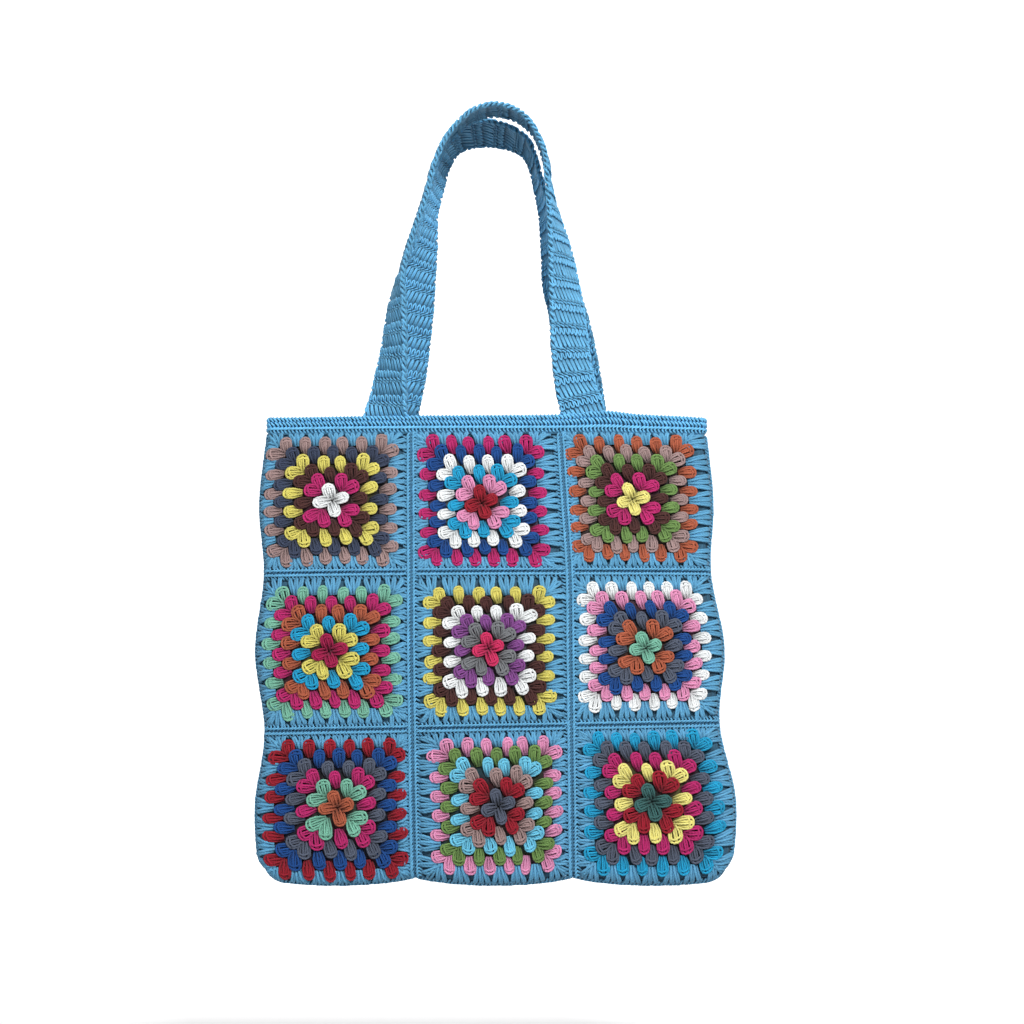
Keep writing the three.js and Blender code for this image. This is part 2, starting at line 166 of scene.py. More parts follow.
# Centre lines of the straps: across as a share of the straps' spread, up of their drop, and
# turn in degrees from flat to the front
STRAP_ROWS = {
    "front": table("across up turn", [
        (-0.552, -1, 4),
        (-0.549, -0.972, 18),
        (-0.543, -0.945, 30),
        (-0.535, -0.87, 43),
        (-0.52, -0.793, 52),
        (-0.506, -0.64, 66),
        (-0.492, -0.562, 77),
        (-0.454, -0.484, 84),
        (-0.409, -0.405, 88),
        (-0.373, -0.327, 84),
        (-0.343, -0.248, 84),
        (-0.305, -0.169, 84),
        (-0.236, -0.089, 84),
        (-0.14, -0.027, 84),
        (-0.06, -0.004, 84),
        (0.027, 0.001, 84),
        (0.12, -0.018, 84),
        (0.178, -0.047, 84),
        (0.22, -0.083, 84),
        (0.27, -0.169, 87),
        (0.285, -0.248, 84),
        (0.308, -0.327, 76),
        (0.331, -0.405, 66),
        (0.35, -0.484, 57),
        (0.362, -0.562, 49),
        (0.375, -0.64, 41),
        (0.387, -0.755, 33),
        (0.4, -0.832, 29),
        (0.42, -0.908, 21),
        (0.447, -0.972, 6),
        (0.449, -1, 4),
    ]),
    "back": table("across up turn", [
        (-0.515, -1, 4),
        (-0.507, -0.954, 8),
        (-0.473, -0.837, 15),
        (-0.457, -0.757, 22),
        (-0.429, -0.598, 30),
        (-0.417, -0.519, 38),
        (-0.399, -0.438, 48),
        (-0.377, -0.357, 62),
        (-0.356, -0.276, 74),
        (-0.318, -0.195, 79),
        (-0.282, -0.107, 78),
        (-0.221, -0.045, 76),
        (-0.13, -0.02, 74),
        (-0.05, -0.015, 74),
        (0.025, -0.021, 76),
        (0.105, -0.038, 80),
        (0.166, -0.064, 83),
        (0.203, -0.106, 85),
        (0.241, -0.2, 84),
        (0.27, -0.276, 80),
        (0.286, -0.357, 76),
        (0.309, -0.438, 66),
        (0.33, -0.519, 55),
        (0.373, -0.598, 42),
        (0.403, -0.678, 32),
        (0.433, -0.797, 20),
        (0.463, -0.954, 6),
        (0.468, -1, 4),
    ]),
}

# Yarn of each square's rounds, from its middle outwards, named by its sixth round
SQUARE_ROUNDS = {
    "taupe": ("white", "magenta", "brown", "yellow", "slate", "taupe"),
    "magenta": ("crimson", "pink", "turquoise", "white", "royal", "magenta"),
    "rust": ("lemon", "magenta", "brown", "green", "taupe", "rust"),
    "mint": ("berry", "yellow", "turquoise", "rust", "magenta", "mint"),
    "yellow": ("raspberry", "grey", "purple", "white", "brown", "yellow"),
    "white": ("mint", "rust", "charcoal", "royal", "pink", "white"),
    "crimson": ("rust", "mint", "magenta", "charcoal", "royal", "crimson"),
    "pink": ("charcoal", "crimson", "taupe", "sky", "green", "pink"),
    "turquoise": ("teal", "crimson", "lemon", "magenta", "charcoal", "turquoise"),
}
SQUARE_LAYOUT = {
    "front": (
        ("taupe", "magenta", "rust"),
        ("mint", "yellow", "white"),
        ("crimson", "pink", "turquoise"),
    ),
    "back": (
        ("pink", "rust", "mint"),
        ("magenta", "turquoise", "taupe"),
        ("white", "crimson", "yellow"),
    ),
}

# Numbers that each kind of piece's random draws start from
SEEDS = {"front": 100, "back": 200, "joins": 11, "seam": 21, "band": 31, "straps": 41}

# The map with a cell for each strand: margin of a cell, room and radius of the discs for a
# strand's ends, how much larger the map is than the strands' cells so that the cloths fit in,
# and where a cloth's walls, ends and sides lie in its own cell
CELL_MARGIN = 0.06
DISC_ROOM = 0.12
DISC_RADIUS = 0.4 * DISC_ROOM
CLOTH_ROOM = 1.12
CLOTH_WALLS = (0.05, 0.95)
CLOTH_FIRST_END = (0.01, 0.03)
CLOTH_LAST_END = (0.97, 0.99)
CLOTH_SIDES = (0.01, 0.99)

# Where the sixth round's tips and the middle lie in each square, from the square's own centre:
# the left tips, middle and right tips, then the top tips, middle and bottom tips
PATTERN_SPANS = np.array([
    [
        [[-55.4, -0.8, 50.6], [-57.6, -1.2, 54.9]],
        [[-54.3, -4.9, 47.0], [-58.2, 2.0, 56.6]],
        [[-57.2, -6.9, 46.6], [-58.2, -1.6, 52.7]],
    ],
    [
        [[-53.4, -1.2, 53.5], [-50.2, 1.2, 51.9]],
        [[-51.4, -1.6, 49.0], [-48.6, 0.4, 51.9]],
        [[-54.7, -2.8, 48.6], [-52.7, 1.2, 50.2]],
    ],
    [
        [[-52.4, 4.1, 56.3], [-54.7, -0.8, 55.5]],
        [[-47.8, 4.5, 53.1], [-53.5, -0.8, 51.4]],
        [[-51.9, -2.8, 50.2], [-55.9, -3.2, 52.3]],
    ],
]) * MM

# Rounds of a square. The tips lie a step apart, the clusters of the first round are shorter than
# usual, and the lean falls from round to round.
ROUNDS = 6
QUARTERS = 4
CLUSTER_PITCH = 15.5 * MM
FIRST_TIP = 14.4 * MM
ROUND_STEP = 7.9 * MM
LAST_TIP = FIRST_TIP + (ROUNDS - 1) * ROUND_STEP
PATTERN_KNOTS = np.array([-SQUARE_SIDE / 2, -LAST_TIP, 0, LAST_TIP, SQUARE_SIDE / 2])
FIRST_LENGTH = 0.9
FIRST_LEAN = 1.4
LAST_LEAN = 0.5

# Clusters: their turn and growth at a square's corners, and the places of their three posts
CORNER_TURN = math.radians(9)
CORNER_LENGTH = 0.05
CORNER_WIDTH = 0.1
POSTS = (-1, 0, 1)
POST_INSET = 1.95 * MM
SIDE_POST_SHORTER = 0.1
LOOP_INSET = 0.9 * MM
FIRST_BASE_STEP = 2.4 * MM
BASE_STEP = 1.3 * MM
CAP_INSET = 1.3 * MM
WRAP_SLANT = 0.5 * MM

# Fans of the blue round
FAN_BASE = 46 * MM
JOINED_FAN_END = 57.2 * MM
SEAM_FAN_END = 60.3 * MM
BAND_FAN_END = 60.6 * MM
FAN_CORNER_TURN = math.radians(15)
FAN_CORNER_LENGTH = 0.06
FAN_CORNER_SPREAD = 0.6 * MM
FAN_LEAN = math.radians(4)
FAN_BASE_STEP = 1.9 * MM

# How much clusters, fans and stitches differ from each other
CLUSTER_SCATTER = {
    "beside": 0.4 * MM,
    "lean": math.radians(4),
    "length": 0.04,
    "width": 0.05,
    "post": 0.15 * MM,
    "loop": 0.02,
    "slant": 0.5 * MM,
}
FAN_SCATTER = {"beside": 0.3 * MM, "lean": math.radians(2), "post": 0.2 * MM}
STITCH_SCATTER = {"run": 0.16 * MM, "raise": 0.6}
TINT_SCATTER = 0.06

# Points along a strand, and the ones round it
HAIRPIN_POINTS = 8
CAP_POINTS = 6
WRAP_POINTS = 6
ARCH_POINTS = 7
SLANT_POINTS = 5
STRAND_SIDES = 4
CAP_SPREAD = math.radians(82)

# Lengths under which two places are one, and a direction has no length
NEAR = 1e-6
TINY = 1e-12

# Thickness of each kind of strand, as a share of the yarn's. A hairpin is thinner at its ends.
THICKNESS = {
    "cluster": 1.3,
    "cap": 1.25,
    "wrap": 1.15,
    "fan": 1.6,
    "join": 1.1,
    "band": 1.18,
    "rim": 1.1,
    "post": 1.0,
    "slant": 0.95,
    "rope": 1.35,
}
HAIRPIN_THINNING = 0.16
HAIRPIN_SWELL = 1 - HAIRPIN_THINNING * (1 - np.sin(np.linspace(0, np.pi, HAIRPIN_POINTS)))

# Shapes of the loops of a cluster and of a fan
CLUSTER_LOOPS = {
    "narrow": 0.95 * MM,
    "eye": 0.35 * MM,
    "widest": 0.7,
    "taper": 0.26,
    "late": 1.0,
    "twist": math.radians(50),
    "rise": 0.72,
    "base_raise": -1.9 * MM,
    "tip_raise": 0.1 * MM,
    "crown": 0.7 * MM,
    "tuck": 0.25 * MM,
    "cap_height": 4.0 * MM,
    "cap_inset": 0.8 * MM,
    "cap_raise": 0.6 * MM,
    "cap_dive": 1.2 * MM,
    "wrap_place": 0.78,
    "wrap_bend": 2.4 * MM,
    "wrap_raise": 0.9 * MM,
    "wrap_dive": 1.9 * MM,
}
FAN_LOOPS = {
    "narrow": 1.0 * MM,
    "eye": 0.7 * MM,
    "widest": 0.92,
    "taper": 0.06,
    "late": 1.45,
    "twist": math.radians(35),
    "rise": 0.5,
    "base_raise": -1.2 * MM,
    "tip_raise": -0.5 * MM,
    "crown": -0.2 * MM,
    "tuck": 0.4 * MM,
}

# The same for all loops: exponents of their curves, and where their tips begin to tuck in
LOOP_SHARPNESS = 0.8
TWIST_SHARPNESS = 1.2
TAPER_SHARPNESS = 5
CROWN_SHARPNESS = 0.7
TUCK_START = 0.86

# Lightness of yarn that lies deep, painted shade, and of yarn that stands proud, a painted
# highlight, and of the cloth underneath, painted shade between the strands
RECESS_SHADE = 0.44
CREST_SHADE = 1.06
RECESS_DEPTH = 2.2 * MM
CREST_HEIGHT = 0.5 * MM
CLOTH_SHADE = 0.1
BLUE_CLOTH_SHADE = 0.34
BAND_CLOTH_SHADE = 0.5

# Lightness of the joins, band and straps beside the squares' blue: painted shade on the joins and
# seam, painted light on the band and straps; and a painted shadow inside a strap's arch
JOIN_PAINTED_SHADE = 0.9
BAND_PAINTED_LIGHT = 1.18
STRAP_PAINTED_LIGHT = 1.1
ARCH_SHADE = 0.45
ARCH_REACH = 70 * MM
LOOKS_UP = 0.2

# The cloth: its ribs, its two faces' heights, where it is finely divided near a square's edge,
# and how far inside its tips a round's colour begins
CLOTH_RIB = 7.5 * MM
CLOTH_OUTER = -2.3 * MM
CLOTH_INNER = -3.2 * MM
CLOTH_STEPS = 15
CLOTH_TURN = (0.02, 0.04, 0.065)
CLOTH_OVERLAP = 5 * MM


def stitch_path(rows):
    """A short stitch in millimetres: its run along its chain line, away from the line's groove
    and raised from the fabric, as a table in metres."""
    return {column: values * MM for column, values in table("run away raised", rows).items()}


# Stitches of the joins and the seam. UPRIGHT_REACH and LEVEL_REACH are the shares of a stitch's
# length away from its line that it has on an upright and on a level join.
CHAIN_STITCH = stitch_path([
    (-0.9, 0.7, -1.3),
    (-0.2, 1.7, 0.4),
    (1.1, 2.5, 1.2),
    (2.8, 3.0, 1.2),
    (3.6, 3.9, 0.3),
    (3.0, 5.4, -0.3),
    (1.8, 7.4, -1.4),
])
STITCH_PITCH = 2.9 * MM
UPRIGHT_REACH = 0.85
LEVEL_REACH = 0.75
# A core strand along each join's groove, darkened as painted shade in the groove
CORE_RAISE = -0.9 * MM
CORE_RADIUS = 1.3 * MM
CORE_SHADE = 0.5
CORE_POINTS = 100
SEAM_CLOTH_RAISE = 0.4 * MM
SEAM_GRID = (151, 5)

# Slanting stitches of the band's upper rows. Each row hangs from its height above the band's
# lower edge, and a loop for each stitch lies over the upper edge.
BAND_STITCH = stitch_path([
    (-1.2, 0.5, -1.0),
    (-0.6, 1.2, 0.5),
    (0.4, 2.2, 1.2),
    (1.3, 3.2, 1.0),
    (1.9, 4.2, 0.0),
    (2.0, 4.9, -1.2),
])
BAND_PITCH = 3.1 * MM
BAND_ROWS = (13.0 * MM, 9.4 * MM, 5.8 * MM)
BAND_REACH = 0.82
BAND_SINK = 0.2 * MM
RIM_LOOP = {
    "run": 1.25,
    "half_width": 1.5 * MM,
    "narrowing": 0.35,
    "drop": 0.5 * MM,
    "bulge": 0.4 * MM,
}
MOUTH_TURN = 0.2
MOUTH_POINTS = (30, 160)
RIM_POINTS = 301
BAND_GRID = (161, 4)
BAND_CLOTH = {"low": -1 * MM, "high": 11.4 * MM, "outer": -0.9 * MM, "inner": -3.4 * MM}

# Rows of a strap and its strands: the tall posts of one face, the slanting strands and arches of
# the other, and the rope along both edges
STRAP_ROW = 9.85 * MM
STRAP_POSTS = 9
STRAP_EDGE = 1.0 * MM
STRAP_POINTS = 600
POST = {
    "scatter": 0.4 * MM,
    "spread": 0.95,
    "sharpness": 0.7,
    "foot": 0.5 * MM,
    "reach": 1.12,
    "narrow": 0.62 * MM,
    "eye": 0.4 * MM,
    "lean": 3.4 * MM,
    "raise": 1.5 * MM,
}
SLANT = {
    "scatter": 0.3 * MM,
    "places": (0.9 * MM, 3.0 * MM),
    "run": 1.1 * MM,
    "beside": 1.9 * MM,
    "raise": 1.7 * MM,
    "dive": 1.1 * MM,
}
ARCH = {
    "sharpness": 0.8,
    "foot": 4.2 * MM,
    "reach": 5.2 * MM,
    "half_width": 1.35 * MM,
    "lean": 0.8 * MM,
    "raise": 1.0 * MM,
    "crown": 0.6 * MM,
}
ROPE = {
    "turn": math.radians(110),
    "run": 2.9 * MM,
    "inset": 2.6 * MM,
    "out": 1.2 * MM,
    "raise": 1.7 * MM,
    # The rope's strands are drawn a little lighter, a painted highlight
    "shade": 1.08,
}
# Painted shade on the straps: each row darker at its foot and lighter at its top, and yarn that lies
# deep darker
ROW_SHADES = (0.72, 1.08)
STRAP_RECESS = 1.2 * MM
STRAP_GRID = (121, 5)
STRAP_CLOTH_INSET = 1.6 * MM
STRAP_CLOTH_HALF = 0.45 * MM

# Cotton: how much plies, fibres and wear change its lightness and the height of its surface. The
# darker grooves between the plies are painted shade; fibres and wear vary the tone at random
PLIES = 3
PLY_SHADE = 0.16
FIBRE_SHADE = 0.3
WEAR_SHADE = 0.16
BASE_SHADE = 0.6
PLY_RELIEF = 0.7
FIBRE_RELIEF = 0.5
RELIEF = 0.25 * MM

# Roughness of each yarn, and how much lighter its crest is than its flanks, painted light and shade
# across each strand
ROUGHNESS_AND_PAINTED_CREST = {
    "granny_cotton": (0.75, 0.42),
    "blue_cotton": (0.72, 0.7),
    "blue_strap_cotton": (0.72, 0.74),
}

# Camera, set to the photo's view
CAMERA_PLACE = Vector((0.0145, -1.3, -0.51))
CAMERA_PITCH = math.radians(7.5)
CAMERA_LENS = 55.876
SENSOR_WIDTH = 36

# Backdrop: a floor, a bend and a wall, which glows from a little behind the bag on
FLOOR_HEIGHT = -0.8
FLOOR_FRONT = -2.5
BACKDROP_WIDTH = 3.6
WALL_PLACE = 2.2
WALL_HEIGHT = 2.3
BEND_RADIUS = 0.8
BEND_POINTS = 25
BACKDROP_GREY = 0.55
GLOW = 0.95
GLOW_START = 0.15
GLOW_RISE = 4
WORLD_LIGHT = 0.14

# Soft lights: place, aim, size and power
MIDDLE = (0, 0, -0.4)
LIGHTS = {
    "key": ((0.6, -1.65, 0.75), MIDDLE, 0.4, 35),
    "fill": ((-1.6, -1.4, 0.1), MIDDLE, 1.2, 7),
    "wall": ((0, 1.0, 1.6), (0, 2.2, -0.3), 2.0, 20),
}


def lerp(a, b, share):
    """The value a share of the way from a to b."""
    return a + (b - a) * share


def smooth(value):
    """From 0 to 1 as the value goes from 0 to 1: three times its square less twice its cube."""
    t = np.clip(value, 0, 1)
    return t * t * (3 - 2 * t)


def unit(vectors):
    """The vectors at length one."""
    return vectors / np.maximum(np.linalg.norm(vectors, axis=-1, keepdims=True), TINY)


def long_grid(length, low, high, grid):
    """Even places along a length and from low to high across it, as two arrays of grid's size."""
    steps, rows = grid
    return np.meshgrid(np.linspace(0, length, steps), np.linspace(low, high, rows), indexing="ij")


def along(rows, key, place, column):
    """Value of a column at places along a table: a cubic through the rows, whose slope at a row
    is that between its neighbours."""
    keys, values = rows[key], rows[column]
    before = np.maximum(np.arange(len(keys)) - 1, 0)
    after = np.minimum(np.arange(len(keys)) + 1, len(keys) - 1)
    slopes = (values[after] - values[before]) / (keys[after] - keys[before])
    i = np.clip(np.searchsorted(keys, place, side="right") - 1, 0, len(keys) - 2)
    span = keys[i + 1] - keys[i]
    t = np.clip((place - keys[i]) / span, 0, 1)
    rise = values[i + 1] - values[i]
    first, last = slopes[i] * span, slopes[i + 1] * span
    return values[i] + t * (first + t * (3 * rise - 2 * first - last + t * (first + last - 2 * rise)))


def fullness(across):
    """How full the body is across: 1 less the distance from the middle to a power."""
    return 1 - np.abs(1 - 2 * across / SQUARES) ** SIDE_SHARPNESS


def half_depth(down):
    """Half of the body's depth beyond the turned edges: it widens smoothly from the mouth to
    the middle, then closes to the base as a power of the distance."""
    mouth = MOUTH_DEPTH / 2 - EDGE_OFFSET - ROLL_RADIUS
    middle = BODY_DEPTH / 2 - EDGE_OFFSET - ROLL_RADIUS
    widest = SQUARES / 2
    above = lerp(mouth, middle, smooth(down / widest))
    below = middle * (1 - (np.maximum(down - widest, 0) / widest) ** BASE_SHARPNESS)
    return np.where(down < widest, above, below)


def place_across(across, down):
    """Place across in metres: even between the edges and joins of the body at a level."""
    inset = JOIN_RIDGE - ROLL_HIDES
    left, join_left, join_right, right = (
        along(BODY_ROWS, "down", down, column) * BODY_WIDTH
        for column in ("left", "join_left", "join_right", "right")
    )
    first = lerp(left + inset, join_left, across)
    second = lerp(join_left, join_right, across - 1)
    third = lerp(join_right, right - inset, across - 2)
    return np.where(across < 1, first, np.where(across < 2, second, third))


def panel_point(across, down, side, raised):
    """Point of a panel at across and down squares from its top left corner. The panel is a flat
    lens, puffed in each square by the sine of the place in it, scalloped along the base and
    rounded at the base's corners, and its sides and base turn in a quarter circle to the seam.
    raised is the distance outwards."""
    across, down, raised = np.broadcast_arrays(*(np.asarray(v, float) for v in (across, down, raised)))
    drop_left = along(DROP_ROWS, "down", down, "left")
    drop_right = along(DROP_ROWS, "down", down, "right")
    hangs = lerp(drop_left, drop_right, across / SQUARES) * (BODY_HEIGHT - JOIN_RIDGE + ROLL_HIDES)
    scallop = HEM_NOTCH * (1 - np.abs(np.sin(np.pi * across)) ** NOTCH_SHARPNESS)
    to_side = np.minimum(across, SQUARES - across) * SQUARE_SIDE
    to_hem = (SQUARES - down) * SQUARE_SIDE
    near_corner = np.clip(1 - to_side / CORNER_RADIUS, 0, 1) * np.clip(1 - to_hem / CORNER_RADIUS, 0, 1)
    pull = CORNER_RADIUS * (1 - math.sqrt(0.5)) * near_corner ** CORNER_SHARPNESS
    beyond_side = np.maximum(0, CORNER_RADIUS - to_side - pull)
    beyond_hem = np.maximum(0, CORNER_RADIUS - to_hem - pull)
    reach = np.hypot(beyond_side, beyond_hem)
    sideways = beyond_side / np.maximum(reach, TINY)
    downwards = beyond_hem / np.maximum(reach, TINY)
    rolled = np.clip(CORNER_RADIUS - reach, 0, ROLL_LENGTH)
    turn = rolled / ROLL_RADIUS
    shift = ROLL_RADIUS * (1 - np.cos(turn)) - rolled + ROLL_HIDES
    inwards = pull + sideways * (shift - raised * np.cos(turn))
    towards_middle = np.where(across < SQUARES / 2, 1, -1)
    out = EDGE_OFFSET + (ROLL_RADIUS + raised) * np.sin(turn)
    wave = np.abs(np.sin(np.pi * across) * np.sin(np.pi * down))
    puff = SQUARE_PUFF * wave**PUFF_SHARPNESS
    x = place_across(across, down) + towards_middle * inwards
    y = side * (out + half_depth(down) * fullness(across) + puff)
    z = -HANDLE_DROP - BAND_HEIGHT - hangs + scallop * smooth(down - SQUARES + 1) + pull
    return np.stack([x, y, z + downwards * (shift - raised * np.cos(turn))], axis=-1)


def on_panel(across, down, side, raised):
    """Points of a panel and the direction outwards there."""
    points = panel_point(across, down, side, raised)
    return points, unit(panel_point(across, down, side, raised + MM) - points)


class Yarn:
    """Strands of yarn that are gathered and made into one mesh. Each strand is a closed tube:
    a ring of points round its path, its radius wide, for each point of the path."""

    def __init__(self, seed):
        self.random = np.random.default_rng(seed)
        self.strands = []
        self.cloths = []

    def add(self, points, outwards, radii, colour, shade=1.0):
        """Adds strands: their paths, the direction out of the fabric, radii, one colour and how
        light each point is, which paints shade and highlights onto the colour."""
        count, steps, _ = points.shape
        tint = self.random.normal(1, TINT_SCATTER, (count, 1, 1)) * np.asarray(colour)
        tint = np.clip(tint * np.broadcast_to(shade, (count, steps))[..., None], 0, 1)
        made = tube_arrays(points, outwards, np.broadcast_to(radii, (count, steps)))
        made["colours"] = np.repeat(tint.reshape(-1, 3), STRAND_SIDES, axis=0)
        self.strands.append(made)

    def add_cloth(self, outer, inner, colours):
        """Adds the closed cloth that lies under the strands, between two grids of points. Its colours
        are painted shade that shows between the strands.
        """
        made = cloth_arrays(outer, inner)
        made["colours"] = np.concatenate([colours, colours[:, ::-1]], axis=1).reshape(-1, 3)
        self.cloths.append(made)

    def mesh(self, name):
        """One mesh of all strands and cloths, with their colour, a map along each strand and a
        map in which each has a cell of its own. The cloths' cells fill the last rows."""
        cells = sum(len(made["cell"]) for made in self.strands)
        columns = math.ceil(math.sqrt(cells * CLOTH_ROOM))
        rows = math.ceil(cells / columns)
        for number, made in enumerate(self.cloths):
            origin = np.array([columns * number / len(self.cloths), rows])
            made["cell"] = made["cell"] * [columns / len(self.cloths), columns - rows] + origin
        cell = 0
        for made in self.strands:
            numbers = cell + np.arange(len(made["cell"]))
            origin = np.stack([numbers % columns, numbers // columns], axis=-1)[:, None, :]
            made["cell"] = made["cell"] + origin
            cell += len(numbers)
        parts = [*self.strands, *self.cloths]
        first = np.cumsum([0] + [len(made["points"]) for made in parts])
        whole = {
            "corners": np.concatenate([made["corners"] + start for made, start in zip(parts, first)]),
            "sheet": np.concatenate([made["cell"].reshape(-1, 2) for made in parts]) / columns,
        }
        for key in ("points", "sizes", "strand", "colours"):
            whole[key] = np.concatenate([made[key] for made in parts])
        return fill_mesh(name, whole)


def tube_arrays(points, outwards, radii):
    """Points, faces and maps of closed tubes. Round each point of a path lies a ring: the point
    plus the radius times the cosine and sine of an angle along two directions square to the
    path, the second as near to outwards as it can be."""
    sides = STRAND_SIDES
    count, steps, _ = points.shape
    runs = unit(np.gradient(points, axis=1))
    sideways = unit(np.cross(runs, outwards))
    upwards = np.cross(sideways, runs)
    angles = 2 * np.pi * (np.arange(sides) + 0.5) / sides
    cosines, sines = np.cos(angles)[:, None], np.sin(angles)[:, None]
    wheel = cosines * sideways[:, :, None] + sines * upwards[:, :, None]
    rings = points[:, :, None] + radii[:, :, None, None] * wheel
    lengths = np.linalg.norm(np.diff(points, axis=1), axis=-1)
    run = np.concatenate([np.zeros((count, 1)), np.cumsum(lengths, axis=1)], axis=1)

    tube = np.arange(count)[:, None, None] * steps * sides
    step = np.arange(steps - 1)[None, :, None]
    corner = np.arange(sides)[None, None, :]
    here = tube + step * sides + corner
    beside = tube + step * sides + (corner + 1) % sides
    walls = np.stack([here, here + sides, beside + sides, beside], axis=-1).reshape(count, -1)
    first = tube[:, 0] + np.arange(sides)[None, :]
    last = tube[:, 0] + (steps - 1) * sides + np.arange(sides)[None, ::-1]
    corners = np.concatenate([walls, first, last], axis=1)

    corner_u = np.stack([corner, corner, corner + 1, corner + 1], axis=-1) / sides
    corner_i = np.stack([step, step + 1, step + 1, step], axis=-1)
    corner_u, corner_i = np.broadcast_arrays(corner_u, corner_i)
    wall_u, wall_i = corner_u.reshape(-1), corner_i.reshape(-1)
    wall_strand = np.stack([np.broadcast_to(wall_u, (count, len(wall_u))), run[:, wall_i]], axis=-1)
    cap_u = np.broadcast_to(np.arange(sides) / sides, (count, sides))
    first_strand = np.stack([cap_u, np.zeros((count, sides))], axis=-1)
    last_strand = np.stack([cap_u[:, ::-1], np.repeat(run[:, -1:], sides, axis=1)], axis=-1)
    strand = np.concatenate([wall_strand, first_strand, last_strand], axis=1)

    wall_start = CELL_MARGIN + DISC_ROOM
    disc_place = CELL_MARGIN + DISC_ROOM / 2
    cell_u = lerp(CELL_MARGIN, 1 - CELL_MARGIN, wall_u)
    cell_v = lerp(wall_start, 1 - wall_start, wall_i / (steps - 1))
    disc = np.stack([np.cos(angles), np.sin(angles)], axis=-1) * DISC_RADIUS
    low = disc + [0.5, disc_place]
    high = disc[::-1] + [0.5, 1 - disc_place]
    cell = np.concatenate([np.stack([cell_u, cell_v], axis=-1), low, high])
    sizes = np.concatenate([np.full((steps - 1) * sides, 4), [sides, sides]])
    return {
        "points": rings.reshape(-1, 3),
        "corners": corners.reshape(-1),
        "sizes": np.tile(sizes, count),
        "strand": strand.reshape(-1, 2),
        "cell": np.broadcast_to(cell, (count, *cell.shape)),
    }


def cloth_arrays(outer, inner):
    """Points, faces and maps of a thin closed cloth. Its rings run along a row of the outer
    grid and back along the inner one, and its two ends are strips between the grids."""
    steps, half, _ = outer.shape
    sides = 2 * half
    rings = np.concatenate([outer, inner[:, ::-1]], axis=1)
    step = np.arange(steps - 1)[:, None]
    corner = np.arange(sides)[None, :]
    here = step * sides + corner
    beside = step * sides + (corner + 1) % sides
    walls = np.stack([here, beside, beside + sides, here + sides], axis=-1).reshape(-1, 4)
    wall_u = np.stack([corner, corner + 1, corner + 1, corner], axis=-1) / sides + 0 * step[..., None]
    wall_v = np.stack([step, step, step + 1, step + 1], axis=-1) / (steps - 1) + 0 * corner[..., None]
    j = np.arange(half - 1)
    end = np.stack([j, sides - 1 - j, sides - 2 - j, j + 1], axis=-1)
    end_u = np.stack([j, j, j + 1, j + 1], axis=-1) / (half - 1)
    end_v = np.broadcast_to([0.0, 1.0, 1.0, 0.0], end_u.shape)
    faces = np.concatenate([walls, end, end[:, ::-1] + (steps - 1) * sides])
    u = np.concatenate([wall_u.reshape(-1, 4), end_u, end_u[:, ::-1]])
    v = np.concatenate([
        lerp(*CLOTH_WALLS, wall_v.reshape(-1, 4)),
        lerp(*CLOTH_FIRST_END, end_v),
        lerp(*CLOTH_LAST_END, end_v[:, ::-1]),
    ])
    i, j = steps // 2, half // 2
    normal = np.cross(outer[i, j + 1] - outer[i, j], outer[i + 1, j] - outer[i, j])
    if np.dot(normal, outer[i, j] - inner[i, j]) < 0:
        faces, u, v = faces[:, ::-1], u[:, ::-1], v[:, ::-1]
    cell = np.stack([lerp(*CLOTH_SIDES, u), v], axis=-1)
    across = np.linalg.norm(outer[0, -1] - outer[0, 0])
    down = np.linalg.norm(outer[-1, 0] - outer[0, 0])
    return {
        "points": rings.reshape(-1, 3),
        "corners": faces.reshape(-1),
        "sizes": np.full(len(faces), 4),
        "strand": (cell * [2 * across / CLOTH_RIB, down]).reshape(-1, 2),
        "cell": cell.reshape(-1, 2),
    }


def recess_shade(raised):
    """Lightness by height, smoothly: yarn that lies deep in the fabric is darker, painted shade, and
    yarn that stands proud a little lighter, a painted highlight.
    """
    share = (raised + RECESS_DEPTH) / (RECESS_DEPTH + CREST_HEIGHT)
    return lerp(RECESS_SHADE, CREST_SHADE, smooth(share))


def fill_mesh(name, whole):
    """A mesh from whole arrays of points, face corners, face sizes, colours and maps."""
    mesh = bpy.data.meshes.new(name)
    mesh.vertices.add(len(whole["points"]))
    mesh.vertices.foreach_set("co", whole["points"].astype(np.float32).ravel())
    mesh.loops.add(len(whole["corners"]))
    mesh.loops.foreach_set("vertex_index", whole["corners"].astype(np.int32))
    mesh.polygons.add(len(whole["sizes"]))
    starts = np.cumsum(whole["sizes"]) - whole["sizes"]
    mesh.polygons.foreach_set("loop_start", starts.astype(np.int32))
    mesh.update(calc_edges=True)
    mesh.polygons.foreach_set("use_smooth", np.ones(len(whole["sizes"]), bool))
    # The colour attribute carries the yarn's colour with painted shade and highlights multiplied in
    tint = mesh.attributes.new("yarn_colour", "FLOAT_COLOR", "POINT")
    rgba = np.concatenate([whole["colours"], np.ones((len(whole["colours"]), 1))], axis=1)
    tint.data.foreach_set("color", rgba.astype(np.float32).ravel())
    for layer, key in (("strand", "strand"), ("OFBake", "sheet")):
        layer_map = mesh.uv_layers.new(name=layer)
        layer_map.uv.foreach_set("vector", whole[key].astype(np.float32).ravel())
    mesh.validate()
    return mesh


def add_piece(yarn, node, finish):
    """The yarn's mesh as an object of that finish, which stands for a node and rides on the bag."""
    mesh = yarn.mesh(f"yarn_{node}")
    mesh.materials.append(bpy.data.materials.get(finish) or yarn_material(finish, *ROUGHNESS_AND_PAINTED_CREST[finish]))
    made = bpy.data.objects.new(mesh.name, mesh)
    bpy.context.scene.collection.objects.link(made)
    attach(made, BODY)
    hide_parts(node)


